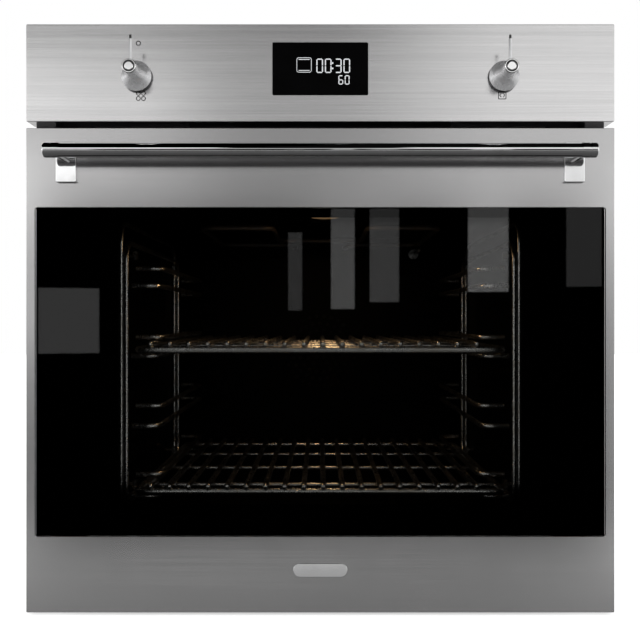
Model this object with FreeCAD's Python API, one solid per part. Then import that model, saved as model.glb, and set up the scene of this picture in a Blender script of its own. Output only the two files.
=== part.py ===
"""Built-in wall oven, 60 cm class, as separate sub-parts.

Millimetres. +Z is up, the door faces -Y, and X = 0 is the middle of the oven. The origin is on the
underside of the base pan, in the plane of the cabinet's front face (Y = 0).
"""

import FreeCAD
import Part
import math
import os

from FreeCAD import Vector

os.makedirs("parts", exist_ok=True)

# ---- driving dimensions -------------------------------------------------------------------------

FRONT_HALF = 297.5
FRONT_Y = -24.0
DOOR_BOTTOM = 3.0
DOOR_TOP = 493.0
FASCIA_BOTTOM = 499.6
FASCIA_TOP = 598.0
SHEET = 1.0

WINDOW_HALF = 288.7
WINDOW_Z = (79.9, 412.8)
GLASS_GAP = 0.25

OUTER_GLASS_Y = (FRONT_Y, FRONT_Y + 4.0)
MIDDLE_GLASS_Y = (-5.0, -1.0)
INNER_GLASS_Y = (12.0, 16.0)
PACK_HALF = 272.0
PACK_Z = (40.0, 470.0)
COLUMN_INNER = 236.0
PROFILE_WALL = 2.0
TOP_RAIL_LOW = 432.0
BOTTOM_RAIL_HIGH = 76.0

CAVITY_HALF = 230.0
CAVITY_Z = (71.0, 431.0)
CAVITY_Y = (23.5, 453.0)
CAVITY_CORNER = 20.0
CAVITY_SHEET = 1.2

FRAME_Y = (22.0, 23.5)
FRAME_HALF = 276.5
FLANGE_HALF = 295.0
FRAME_Z = (12.0, 583.0)
FLANGE_BOTTOM = 45.0
FIXING_X = 286.0
FIXING_Z = (110.0, 510.0)
FIXING_RADIUS = 2.25

CASING_HALF = 278.0
CASING_TOP = 584.0
CASING_BACK = 523.0
BASE_FRONT = -4.0
BASE_SHEET = 1.2
PANEL_FRONT = 24.6

HINGE_Y = -13.0
HINGE_Z = 31.0
HINGE_X = 250.0
HINGE_PIN_RADIUS = 3.0
RUNNING_GAP = 0.05
ROD_Z = 45.0
ROD_RADIUS = 2.0

KNOB_X = 185.0
KNOB_Z = 544.4
KNOB_LENGTH = 37.0
KNOB_CLEARANCE = 3.6
SPINDLE_RADIUS = 3.0
LEVER_AT = 29.6
LEVER_REACH = 32.4
LEVER_ROOT = 4.4
LEVER_RADIUS = 1.5
LEVER_CAP = 4.0

DISPLAY = (96.5, 53.1)
DISPLAY_Z = 552.9

HANDLE_Y = -50.0
HANDLE_Z = 465.0
HANDLE_RADIUS = 6.8
HANDLE_CAP_RADIUS = 7.3
HANDLE_HALF = 270.8
HANDLE_TUBE_HALF = 255.0
HANDLE_PLATE = 4.5

LADDER_FRONT = 78.0
LADDER_BACK = 406.0
LADDER_LEVELS = 4
LADDER_FIRST_Z = 98.0
LADDER_PITCH = 80.0
LADDER_PAIR_GAP = 20.8
OUTER_LOOP = (226.3, 2.5, (89.8, 410.5))
INNER_LOOP = (220.6, 3.0, (89.0, 387.7))
LOOP_BEND = 22.0
RUNNER_RADIUS = 3.0
RUNNER_X = 185.0
RUNNER_WELD = 0.3
RUNNER_BEND = 12.0

SHELF_LEVELS = (0, 2)
SHELF_HALF = 211.0
SHELF_BAR_RADIUS = 4.0
SHELF_WIRE_RADIUS = 3.2
SHELF_WIRES = 18
SHELF_PITCH = 21.6
SHELF_FIRST_X = -191.2
SHELF_FRONT = 72.0
SHELF_BACK = 409.0
SHELF_WELD = 0.5
SHELF_PLAY = 0.3
SHELF_CROSS_RADIUS = 3.0
SHELF_CROSS_Y = (108.0, 215.0, 319.0)
SHELF_NOSE = 4.5

FAN_Z = 250.0
FAN_SHAFT = 4.0
RING_RADIUS = 104.0
FAN_SHAFT_HOLE = 9.0
HEATER_RADIUS = 3.25
TAIL_X = 40.0
TUBE_HOLE = 4.0
RING_TAIL_Z = FAN_Z - math.sqrt(RING_RADIUS ** 2 - TAIL_X ** 2)
GRILL_Z = 415.0
BOTTOM_ELEMENT_Z = 66.0
PROBE_X = 150.0
PROBE_Z = 404.5
PROBE_RADIUS = 3.0
NUT_STEM_RADIUS = 2.0
LADDER_NUT_Y = (118.0, 366.0)
LADDER_NUT_Z = (104.5, 375.0)
BLOWER_Y = 400.0
BLOWER_Z = 505.0
BLOWER_RADIUS = 24.0
BLOWER_SHAFT = 3.0
INSULATION_TOP = 452.0
LAMP_X = 6.0
LAMP_Y = 128.0
LAMP_HOLE = 22.0


ALONG_X = (1, 0, 0)
ALONG_Y = (0, 1, 0)
ALONG_Z = (0, 0, 1)
UP = Vector(0, 0, 1)


# ---- helpers ------------------------------------------------------------------------------------


def block(x, y, z):
    """A box from three (low, high) pairs."""
    return Part.makeBox(x[1] - x[0], y[1] - y[0], z[1] - z[0], Vector(x[0], y[0], z[0]))


def rounded(shape, radius, axis):
    """The shape with its straight edges along one axis rounded."""
    direction = Vector(*axis)
    edges = []
    for edge in shape.Edges:
        span = edge.Vertexes[-1].Point - edge.Vertexes[0].Point
        if span.Length > 0 and span.cross(direction).Length < 1e-6 * span.Length:
            edges.append(edge)
    return shape.makeFillet(radius, edges)


def rounded_block(x, y, z, radius, axis):
    return rounded(block(x, y, z), radius, axis)


def rod(start, end, radius):
    """A cylinder from one point to another."""
    start = Vector(*start)
    run = Vector(*end) - start
    return Part.makeCylinder(radius, run.Length, start, run)


def tube(start, end, outer, inner):
    return rod(start, end, outer).cut(rod(start, end, inner))


def mirrored(shape):
    """The left-hand copy of a right-hand shape."""
    return shape.mirror(Vector(0, 0, 0), Vector(*ALONG_X))


def both(shape):
    return [shape, mirrored(shape)]


def fused(shapes):
    return shapes[0].multiFuse(shapes[1:]).removeSplitter()


def bent_edges(points, bend):
    """Straight runs joined by tangent arcs, as separate edges in order."""
    points = [Vector(*point) for point in points]
    edges = []
    last = points[0]
    for before, corner, after in zip(points, points[1:], points[2:]):
        arriving = (corner - before).normalize()
        leaving = (after - corner).normalize()
        half_turn = arriving.getAngle(leaving) / 2
        setback = bend * math.tan(half_turn)
        start = corner - arriving * setback
        end = corner + leaving * setback
        inward = (leaving - arriving).normalize()
        middle = corner + inward * (bend / math.cos(half_turn) - bend)
        edges.append(Part.LineSegment(last, start).toShape())
        edges.append(Part.Arc(start, middle, end).toShape())
        last = end
    edges.append(Part.LineSegment(last, points[-1]).toShape())
    return edges


def swept(edges, radius):
    """A round bar along joined edges."""
    first = edges[0]
    profile = Part.Wire(Part.makeCircle(radius, first.valueAt(first.FirstParameter),
                                        first.tangentAt(first.FirstParameter)))
    return Part.Wire(edges).makePipeShell([profile], True, True)


def bent_bar(points, radius, bend):
    return swept(bent_edges(points, bend), radius)


def bent_bar_pieces(points, radius, bend):
    """The same bar as one solid for each run and each bend, end to end."""
    return [swept([edge], radius) for edge in bent_edges(points, bend)]


def slot_x(centre, length, width, y):
    """A round-ended cutter, long along X, through a wall across Y."""
    x, z = centre
    half = length / 2
    return rounded_block((x - half, x + half), y, (z - width / 2, z + width / 2), width / 2 - 0.01, ALONG_Y)


def slot_z(centre, width, height, y):
    """The same, long along Z."""
    x, z = centre
    half = height / 2
    return rounded_block((x - width / 2, x + width / 2), y, (z - half, z + half), width / 2 - 0.01, ALONG_Y)


def rosette(pitch, rings):
    """Hole centres in rings around the fan's axis, six more in each ring."""
    centres = []
    for ring in range(1, rings + 1):
        for index in range(6 * ring):
            angle = 2 * math.pi * index / (6 * ring)
            centres.append((pitch * ring * math.cos(angle), FAN_Z + pitch * ring * math.sin(angle)))
    return centres


def edges_at(shape, axis, level):
    """The edges that lie in the plane where coordinate 0, 1 or 2 has one value."""
    found = []
    for edge in shape.Edges:
        box = edge.BoundBox
        low = (box.XMin, box.YMin, box.ZMin)[axis]
        high = (box.XMax, box.YMax, box.ZMax)[axis]
        if abs(low - level) < 1e-3 and abs(high - level) < 1e-3:
            found.append(edge)
    return found


def save(name, *shapes):
    """Writes one sub-part, which may be a group of separate solids."""
    shape = shapes[0] if len(shapes) == 1 else Part.makeCompound(list(shapes))
    assert shape.isValid(), name
    shape.exportStep("parts/" + name + ".step")
    print(name, len(shape.Solids), round(shape.Volume / 1000, 1))


# ---- fasteners of the casing --------------------------------------------------------------------

SCREW_HEAD_RADIUS = 4.0
SCREW_HEAD_HEIGHT = 2.2
SCREW_SHANK_RADIUS = 1.9
SCREW_HOLE_RADIUS = 2.1
SCREW_LENGTH = 7.0

BACK_SCREWS = [(x, z) for z in (14.0, 200.0, 386.0, 572.0) for x in (-262.0, 262.0)]
BACK_SCREWS += [(x, z) for z in (14.0, 572.0) for x in (-90.0, 90.0)]
SIDE_SCREWS = [(y, z) for y in (50.0, 280.0, 500.0) for z in (9.0, 575.0)]


def screw(at, outward):
    """A pan-head screw with a cross recess, whose head rests on a wall."""
    at = Vector(*at)
    outward = Vector(*outward)
    head = Part.makeCylinder(SCREW_HEAD_RADIUS, SCREW_HEAD_HEIGHT, at, outward)
    rim = [edge for edge in head.Edges if (edge.CenterOfMass - at).dot(outward) > SCREW_HEAD_HEIGHT - 0.1]
    head = head.makeFillet(1.2, rim)
    shank = Part.makeCylinder(SCREW_SHANK_RADIUS, SCREW_LENGTH, at - outward * SCREW_LENGTH, outward)
    body = head.fuse(shank)
    across = Vector(outward.z, outward.x, outward.y)
    up = outward.cross(across)
    for long_way, short_way in ((across, up), (up, across)):
        corner = at + outward * (SCREW_HEAD_HEIGHT - 1.0) - long_way * 2.1 - short_way * 0.45
        size = long_way * 4.2 + short_way * 0.9 + outward * 2.0
        far = corner + size
        low = Vector(min(corner.x, far.x), min(corner.y, far.y), min(corner.z, far.z))
        body = body.cut(Part.makeBox(abs(size.x), abs(size.y), abs(size.z), low))
    return body


def casing_screws():
    screws = [screw((x, CASING_BACK, z), ALONG_Y) for x, z in BACK_SCREWS]
    for y, z in SIDE_SCREWS:
        screws.append(screw((CASING_HALF, y, z), ALONG_X))
        screws.append(screw((-CASING_HALF, y, z), (-1, 0, 0)))
    save("casing_screws", *screws)


# ---- front frame and cavity ---------------------------------------------------------------------

LOOM_X = -186.0
LOOM_WINDOW_HALF = 20.0
LOOM_WINDOW_Z = (510.0, 560.0)
FLANGE_CORNER = 4.0
HINGE_SLOT = ((HINGE_X - 3.0, HINGE_X + 3.0), (23.0, 50.0))
VENT_HALF = 140.0
VENT_Z = (474.0, 496.0)


def cavity_opening(y, grow=0.0):
    half = CAVITY_HALF + grow
    z = (CAVITY_Z[0] - grow, CAVITY_Z[1] + grow)
    return rounded_block((-half, half), y, z, CAVITY_CORNER + grow, ALONG_Y)


def front_frame():
    half = FRAME_HALF
    wall = FRAME_Y[1] - FRAME_Y[0]
    shape = block((-half, half), FRAME_Y, FRAME_Z)
    parts = []
    for side in both(block((half - wall, half), (-wall, FRAME_Y[0]), (FLANGE_BOTTOM, FRAME_Z[1]))):
        parts.append(side)
    for flange in both(block((half, FLANGE_HALF), (-wall, 0.0), (FLANGE_BOTTOM, FRAME_Z[1]))):
        parts.append(rounded(flange, FLANGE_CORNER, ALONG_Y))
    parts.append(block((-half, half), (-wall, FRAME_Y[0]), (FRAME_Z[1] - wall, FRAME_Z[1])))
    shape = fused([shape] + parts)
    shape = shape.cut(cavity_opening((FRAME_Y[0] - 1, FRAME_Y[1] + 1)))
    through = (FRAME_Y[0] - 2.0, FRAME_Y[1] + 2.0)
    shape = shape.cut(block((-VENT_HALF, VENT_HALF), through, VENT_Z))
    for x in (LOOM_X, -LOOM_X):
        span = (x - LOOM_WINDOW_HALF, x + LOOM_WINDOW_HALF)
        shape = shape.cut(rounded_block(span, through, LOOM_WINDOW_Z, 6.0, ALONG_Y))
    for cutter in both(block(HINGE_SLOT[0], through, HINGE_SLOT[1])):
        shape = shape.cut(cutter)
    for z in FIXING_Z:
        for hole in both(rod((FIXING_X, -3.0, z), (FIXING_X, 2.0, z), FIXING_RADIUS)):
            shape = shape.cut(hole)
    save("front_frame", shape)


def cavity():
    """Enamelled liner: rounded box with ribbed side walls, open at the front."""
    shell = cavity_opening((CAVITY_Y[0], CAVITY_Y[1] + CAVITY_SHEET), CAVITY_SHEET)
    shell = shell.cut(cavity_opening((CAVITY_Y[0] - 1, CAVITY_Y[1])))
    holes = [(0, FAN_Z, FAN_SHAFT_HOLE), (PROBE_X, PROBE_Z, PROBE_RADIUS + 0.2)]
    holes += [(x, z, TUBE_HOLE) for x in (-TAIL_X, TAIL_X) for z in (GRILL_Z, RING_TAIL_Z)]
    for x, z, radius in holes:
        shell = shell.cut(rod((x, CAVITY_Y[1] - 3, z), (x, CAVITY_Y[1] + 7, z), radius))
    ceiling = CAVITY_Z[1]
    shell = shell.cut(rod((LAMP_X, LAMP_Y, ceiling - 6), (LAMP_X, LAMP_Y, ceiling + 9), LAMP_HOLE))
    for z in LADDER_NUT_Z:
        for y in LADDER_NUT_Y:
            for hole in both(rod((CAVITY_HALF - 5, y, z), (CAVITY_HALF + 5, y, z), NUT_STEM_RADIUS + 0.1)):
                shell = shell.cut(hole)
    save("cavity", shell)


def fan_cover():
    """Pressed cover in front of the fan, with an intake rosette and outlet slots."""
    half = 205.0
    y = (CAVITY_Y[1] - 26.0, CAVITY_Y[1])
    z = (110.0, 395.0)
    outer = rounded_block((-half, half), y, z, 18.0, ALONG_Y)
    inside = (z[0] + SHEET, z[1] - SHEET)
    inner = rounded_block((-half + SHEET, half - SHEET), (y[0] + SHEET, y[1] + 1), inside, 17.0, ALONG_Y)
    shell = outer.cut(inner)
    through = (y[0] - 2.0, y[0] + 3.0)
    cutters = [rod((x, through[0], z), (x, through[1], z), 3.0) for x, z in rosette(11.0, 5)]
    for side in (-1, 1):
        for index in range(9):
            cutters.append(slot_x((side * 180.0, 140.0 + index * 27.5), 30.0, 7.0, through))
    shell = shell.cut(Part.makeCompound(cutters))
    save("fan_cover", shell)


# ---- shelf supports and shelves -----------------------------------------------------------------


def runner_heights():
    lowers = [LADDER_FIRST_Z + LADDER_PITCH * level for level in range(LADDER_LEVELS)]
    return lowers, [z + LADDER_PAIR_GAP for z in lowers]


def ladder(name, side):
    """Wire side frame: two nested upright frames and a pair of runners for each shelf level."""
    front, back = LADDER_FRONT, LADDER_BACK
    solids = []
    for x, radius, (low, high) in (OUTER_LOOP, INNER_LOOP):
        middle = (low + high) / 2
        corners = ((front, middle), (front, high), (back, high), (back, low), (front, low), (front, middle))
        solids += bent_bar_pieces([(side * x, y, z) for y, z in corners], radius, LOOP_BEND)
    lowers, uppers = runner_heights()
    end = INNER_LOOP[0] - INNER_LOOP[1] - RUNNER_RADIUS + RUNNER_WELD
    for heights, start in ((lowers, front + 3.0), (uppers, front + 25.0)):
        for z in heights:
            points = [(side * end, start, z), (side * RUNNER_X, start, z), (side * RUNNER_X, back, z),
                      (side * end, back, z)]
            solids.append(bent_bar(points, RUNNER_RADIUS, RUNNER_BEND))
    save(name, *solids)


NUT_X = (217.0, 221.5)


def ladder_nuts():
    """Square nuts and pins that hold the side frames off the cavity walls."""
    nuts = []
    for y in LADDER_NUT_Y:
        for z in LADDER_NUT_Z:
            stem = rod((NUT_X[1], y, z), (CAVITY_HALF + 1.5, y, z), NUT_STEM_RADIUS)
            head = rounded_block(NUT_X, (y - 5, y + 5), (z - 5, z + 5), 1.5, ALONG_X)
            nuts += both(stem.fuse(head))
    save("ladder_nuts", *nuts)


def shelf(name, level):
    """Wire shelf: long wires welded on top of cross bars, inside two side rails."""
    rail_z = LADDER_FIRST_Z + LADDER_PITCH * level + RUNNER_RADIUS + SHELF_PLAY + SHELF_BAR_RADIUS
    wire_z = rail_z + SHELF_BAR_RADIUS + SHELF_WIRE_RADIUS - SHELF_WELD
    half = SHELF_HALF - SHELF_BAR_RADIUS
    rim = [(0, SHELF_FRONT, rail_z), (half, SHELF_FRONT, rail_z), (half, SHELF_BACK, rail_z),
           (-half, SHELF_BACK, rail_z), (-half, SHELF_FRONT, rail_z), (0, SHELF_FRONT, rail_z)]
    solids = bent_bar_pieces(rim, SHELF_BAR_RADIUS, 10.0)
    bars = [rod((-half, y, rail_z), (half, y, rail_z), SHELF_CROSS_RADIUS) for y in SHELF_CROSS_Y]
    wires = []
    for index in range(SHELF_WIRES):
        x = SHELF_FIRST_X + index * SHELF_PITCH
        wire = rod((x, SHELF_FRONT - SHELF_NOSE, wire_z), (x, SHELF_BACK, wire_z), SHELF_WIRE_RADIUS)
        nose = Part.makeSphere(SHELF_WIRE_RADIUS, Vector(x, SHELF_FRONT - SHELF_NOSE, wire_z))
        wires.append(wire.fuse(nose))
    save(name, fused(solids + bars + wires))


# ---- heating, lamp and probe --------------------------------------------------------------------


TAIL_END = 462.0


def grill_element():
    """Two-loop grill tube under the ceiling, with its ends through the rear wall."""
    half = [(TAIL_X, TAIL_END), (TAIL_X, 400.0), (150.0, 400.0), (150.0, 175.0), (60.0, 175.0), (60.0, 340.0)]
    route = [(-x, y, GRILL_Z) for x, y in half] + [(x, y, GRILL_Z) for x, y in reversed(half)]
    save("grill_element", *bent_bar_pieces(route, HEATER_RADIUS, 16.0))


def bottom_element():
    """One wide loop under the cavity floor."""
    half = [(TAIL_X, TAIL_END), (TAIL_X, 380.0), (170.0, 380.0), (170.0, 90.0)]
    z = BOTTOM_ELEMENT_Z
    route = [(-x, y, z) for x, y in half] + [(x, y, z) for x, y in reversed(half)]
    save("bottom_element", bent_bar(route, HEATER_RADIUS, 30.0))


def ring_element():
    """Ring tube around the fan, with two straight tails through the rear wall."""
    y = 440.0
    start = Vector(-TAIL_X, y, RING_TAIL_Z)
    end = Vector(TAIL_X, y, RING_TAIL_Z)
    ring = Part.Arc(start, Vector(0, y, FAN_Z + RING_RADIUS), end).toShape()
    body = swept([ring], HEATER_RADIUS)
    tails = []
    for x in (-TAIL_X, TAIL_X):
        tails.append(rod((x, y - HEATER_RADIUS, RING_TAIL_Z), (x, 470.0, RING_TAIL_Z), 3.6))
    save("ring_element", fused([body] + tails))


def lamp():
    """Glass lens under the ceiling, with the bulb and its ceramic cup above it."""

    def can(radius, low, height):
        return Part.makeCylinder(radius, height, Vector(LAMP_X, LAMP_Y, CAVITY_Z[1] + low), UP)

    lens = can(20.0, -6.0, 4.0).fuse(can(17.0, -9.0, 12.0)).cut(can(15.0, -7.0, 13.0))
    save("lamp_lens", lens)
    cup = can(21.5, -2.0, 34.0).cut(can(19.5, -3.0, 32.5))
    rim = can(26.0, CAVITY_SHEET, 1.5).cut(can(21.5, CAVITY_SHEET, 1.5))
    save("lamp_holder", fused([cup, rim]))
    bulb = Part.makeSphere(9.0, Vector(LAMP_X, LAMP_Y, CAVITY_Z[1] + 8.0))
    save("lamp_bulb", bulb.fuse(can(6.0, 14.0, 15.5)))


def temperature_probe():
    """Stem through the rear wall, with a round nose and a mounting disc."""
    tip_y = 380.0
    stem = rod((PROBE_X, tip_y, PROBE_Z), (PROBE_X, TAIL_END, PROBE_Z), PROBE_RADIUS)
    tip = Part.makeSphere(PROBE_RADIUS, Vector(PROBE_X, tip_y, PROBE_Z))
    plate = rod((PROBE_X, CAVITY_Y[1] - 1.5, PROBE_Z), (PROBE_X, CAVITY_Y[1], PROBE_Z), 8.0)
    save("temperature_probe", fused([stem, tip, plate]))


def door_seal():
    """Gasket loop around the cavity opening."""
    y = (INNER_GLASS_Y[1] + 0.4, FRAME_Y[0])
    ring = cavity_opening(y, 17.0).cut(cavity_opening((y[0] - 1, y[1] + 1), 10.0))
    save("door_seal", ring.makeFillet(2.4, edges_at(ring, 1, y[0])))


def insulation():
    """Mineral wool slabs on the sides, top, bottom and rear of the cavity."""
    y = (26.0, 454.0)
    side_z = (64.0, 433.5)
    outside = 248.0
    slabs = both(block((CAVITY_HALF + 2.5, outside), y, side_z))
    top = block((-outside, outside), y, (side_z[1], INSULATION_TOP))
    slabs.append(top.cut(rod((LAMP_X, LAMP_Y, 430.0), (LAMP_X, LAMP_Y, 470.0), 28.0)))
    slabs.append(block((-CAVITY_HALF, CAVITY_HALF), y, (42.0, 60.0)))
    rear_y = (456.0, 474.0)
    rear = block((-CAVITY_HALF, CAVITY_HALF), rear_y, (side_z[0], INSULATION_TOP))
    holes = [(0, FAN_Z, 14.0), (PROBE_X, PROBE_Z, 8.0)]
    for x in (-TAIL_X, TAIL_X):
        holes += [(x, GRILL_Z, 8.0), (x, RING_TAIL_Z, 9.0), (x, BOTTOM_ELEMENT_Z, 9.0)]
    for x, z, radius in holes:
        rear = rear.cut(rod((x, rear_y[0] - 5, z), (x, rear_y[1] + 5, z), radius))
    slabs.append(rear)
    save("insulation", *slabs)


# ---- casing -------------------------------------------------------------------------------------

LOUVRE_ROWS = 9
LOUVRE_PITCH = 9.5
LOUVRE_HALF = 1.8
FIELD_RISE = 0.8
FIELD_WALL = 2.0


def raised_field(sheet, face, spans, axis, corner):
    """The sheet with a field pressed outwards from the face at one coordinate; spans are the other two."""

    def slab(depth, shrink, radius):
        ranges = [(low + shrink, high - shrink) for low, high in spans]
        ranges.insert(axis, depth)
        return rounded_block(*ranges, radius, (ALONG_X, ALONG_Y, ALONG_Z)[axis])

    outside = slab((face - 0.2, face + FIELD_RISE), 0.0, corner)
    outside = outside.makeChamfer(0.6, edges_at(outside, axis, face + FIELD_RISE))
    inside = slab((face - SHEET - 0.3, face - 0.2), FIELD_WALL, corner - FIELD_WALL)
    return sheet.fuse(outside).cut(inside)


def base_pan():
    """Floor of the casing with turned-up edges and air slots."""
    half = CASING_HALF - BASE_SHEET
    back = CASING_BACK - SHEET
    floor = block((-half, half), (BASE_FRONT, back), (0.0, BASE_SHEET))
    walls = both(block((half - SHEET, half), (24.0, back), (BASE_SHEET, 18.0)))
    rear = block((-half, half), (back - SHEET, back), (BASE_SHEET, 22.0))
    front = block((-half, half), (PANEL_FRONT - SHEET, PANEL_FRONT), (BASE_SHEET, FRAME_Z[0]))
    pan = fused([floor, rear, front] + walls)
    cutters = []
    for row in range(5):
        for column in range(-4, 5):
            x = column * 44.0
            y = 150.0 + row * 26.0
            cutters.append(rounded_block((x - 15, x + 15), (y - 2.5, y + 2.5), (-1, 3), 2.4, ALONG_Z))
    for y, z in SIDE_SCREWS:
        cutters += both(rod((half - 3, y, z), (half + 3, y, z), SCREW_HOLE_RADIUS))
    for x, z in BACK_SCREWS:
        cutters.append(rod((x, CASING_BACK - 5, z), (x, CASING_BACK, z), SCREW_HOLE_RADIUS))
    pan = pan.cut(Part.makeCompound(cutters))
    save("base_pan", pan)


def side_panel(name, side):
    """Folded sheet with a raised field, louvre slots and screw holes."""
    x0 = CASING_HALF - SHEET
    x1 = CASING_HALF
    sheet = block((x0, x1), (PANEL_FRONT, CASING_BACK - SHEET), (BASE_SHEET, CASING_TOP - SHEET))
    panel = raised_field(sheet, x1, [(70.0, 470.0), (110.0, 440.0)], 0, 14.0)
    rows = []
    for row in range(LOUVRE_ROWS):
        rows += [((bank - 42, bank + 42), 478.0 + row * LOUVRE_PITCH) for bank in (150.0, 300.0, 420.0)]
    rows += [((230.0, 330.0), 40.0 + row * 10.0) for row in range(5)]
    cutters = []
    for y, zc in rows:
        z = (zc - LOUVRE_HALF, zc + LOUVRE_HALF)
        cutters.append(rounded_block((x0 - 1, x1 + 2), y, z, LOUVRE_HALF - 0.1, ALONG_X))
    for yc, zc in SIDE_SCREWS:
        cutters.append(rod((x0 - 2, yc, zc), (x1 + 2, yc, zc), SCREW_HOLE_RADIUS))
    panel = panel.cut(Part.makeCompound(cutters))
    save(name, panel if side > 0 else mirrored(panel))


TERMINAL = ((-236.0, -136.0), (60.0, 128.0))
TERMINAL_GAP = 0.3
INLET_RADIUS = 5.0


def back_panel():
    """Back sheet with air slots, a rosette behind the fan motor and the connection box's window."""
    y = (CASING_BACK - SHEET, CASING_BACK)
    sheet = rounded_block((-CASING_HALF, CASING_HALF), y, (0.0, CASING_TOP), 3.0, ALONG_Y)
    panel = raised_field(sheet, CASING_BACK, [(-180.0, 180.0), (160.0, 440.0)], 1, 16.0)
    through = (CASING_BACK - 3.0, CASING_BACK + 3.0)
    cutters = []
    for column in range(-10, 11):
        for z in (470.0, 512.0, 548.0):
            cutters.append(slot_z((column * 20.0, z), 5.0, 30.0, through))
    holes = [(x, z, 3.2) for x, z in rosette(14.0, 4)]
    holes += [(x, z, SCREW_HOLE_RADIUS) for x, z in BACK_SCREWS]
    for x, z, radius in holes:
        cutters.append(rod((x, through[0], z), (x, through[1], z), radius))
    cutters.append(block(TERMINAL[0], through, TERMINAL[1]))
    save("back_panel", panel.cut(Part.makeCompound(cutters)))


def top_panel():
    """Top sheet with a pressed field and rows of air slots over the blower."""
    y = (PANEL_FRONT, CASING_BACK - SHEET)
    sheet = block((-CASING_HALF, CASING_HALF), y, (CASING_TOP - SHEET, CASING_TOP))
    panel = raised_field(sheet, CASING_TOP, [(-200.0, 200.0), (80.0, 300.0)], 2, 14.0)
    through = (CASING_TOP - 3.0, CASING_TOP + 3.0)
    cutters = []
    for column in range(-12, 13):
        x = column * 16.0
        for yc in (360.0, 410.0, 460.0):
            cutters.append(rounded_block((x - 2.5, x + 2.5), (yc - 19, yc + 19), through, 2.4, ALONG_Z))
    save("top_panel", panel.cut(Part.makeCompound(cutters)))


def terminal_box():
    """Connection box set into the back, with a ribbed lid and a cable inlet."""
    x, z = TERMINAL
    y = (CASING_BACK - 34.0, CASING_BACK + 2.0)
    snug = [(low + TERMINAL_GAP, high - TERMINAL_GAP) for low, high in TERMINAL]
    body = rounded_block(snug[0], y, snug[1], 2.5, ALONG_Y)
    body = body.cut(block((x[0] + 3, x[1] - 3), (y[0] + 2, y[1] - 2.5), (z[0] + 3, z[1] - 3)))
    ribs = []
    for index in range(5):
        xc = x[0] + 22.0 + index * 14.0
        rib = ((xc - 1.5, xc + 1.5), (y[1] - 0.5, y[1] + 1.2), (z[0] + 26, z[1] - 8))
        ribs.append(rounded_block(*rib, 0.7, ALONG_Y))
    body = fused([body] + ribs)
    inlet = (x[1] - 16.0, z[0] + 13.0)
    ring = tube((inlet[0], y[1] - 0.5, inlet[1]), (inlet[0], y[1] + 3.0, inlet[1]), 9.0, INLET_RADIUS)
    hole = rod((inlet[0], y[1] - 4, inlet[1]), (inlet[0], y[1] + 4, inlet[1]), INLET_RADIUS)
    save("terminal_box", body.cut(hole).fuse(ring))


# ---- fans ---------------------------------------------------------------------------------------


def fan_impeller():
    """Radial fan: back disc, hub and bent blades, on a short shaft into the motor."""
    back = 448.2
    disc = rod((0, back - 1.2, FAN_Z), (0, back, FAN_Z), 76.0)
    hub = rod((0, 436.0, FAN_Z), (0, back, FAN_Z), 12.0)
    shaft = rod((0, 440.0, FAN_Z), (0, 492.0, FAN_Z), FAN_SHAFT)
    blades = []
    for index in range(18):
        blade = block((34.0, 75.0), (434.0, 447.5), (-0.6, 0.6))
        blade.rotate(Vector(34, 0, 0), Vector(0, 1, 0), 28)
        blade.rotate(Vector(0, 0, 0), Vector(0, 1, 0), index * 20.0)
        blade.translate(Vector(0, 0, FAN_Z))
        blades.append(blade)
    save("fan_impeller", fused([disc, hub, shaft] + blades))


def fan_motor():
    """Round motor with its lamination stack and a two-legged yoke."""
    body = rod((0, 484.0, FAN_Z), (0, 512.0, FAN_Z), 32.0)
    stack = rounded_block((-42, 42), (489.0, 505.0), (FAN_Z - 36, FAN_Z + 36), 5.0, ALONG_Y)
    legs = []
    for x in (-52.0, 52.0):
        legs.append(rod((x, 478.0, FAN_Z), (x, 492.0, FAN_Z), 4.0))
    yoke = block((-56, 56), (489.0, 491.0), (FAN_Z - 8, FAN_Z + 8))
    motor = fused([body, stack, yoke] + legs)
    save("fan_motor", motor.cut(rod((0, 480, FAN_Z), (0, 494.0, FAN_Z), FAN_SHAFT + RUNNING_GAP)))


def blower_rotor():
    """Cross-flow drum: end and middle discs with blades between them, on a thin shaft."""
    half = 120.0
    discs = []
    for x in (-half, -1.0, half - 2.0):
        discs.append(rod((x, BLOWER_Y, BLOWER_Z), (x + 2.0, BLOWER_Y, BLOWER_Z), BLOWER_RADIUS))
    shaft = rod((-half - 14.0, BLOWER_Y, BLOWER_Z), (half + 34.0, BLOWER_Y, BLOWER_Z), BLOWER_SHAFT)
    blades = []
    for index in range(24):
        blade = block((-half, half), (-0.4, 0.4), (18.0, BLOWER_RADIUS - 0.2))
        blade.rotate(Vector(0, 0, 18), Vector(1, 0, 0), 25)
        blade.rotate(Vector(0, 0, 0), Vector(1, 0, 0), index * 15.0)
        blade.translate(Vector(0, BLOWER_Y, BLOWER_Z))
        blades.append(blade)
    save("blower_rotor", fused(discs + [shaft] + blades))


BLOWER_HOUSE = ((-134.0, 134.0), (362.0, 440.0), (466.5, 545.0))


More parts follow.
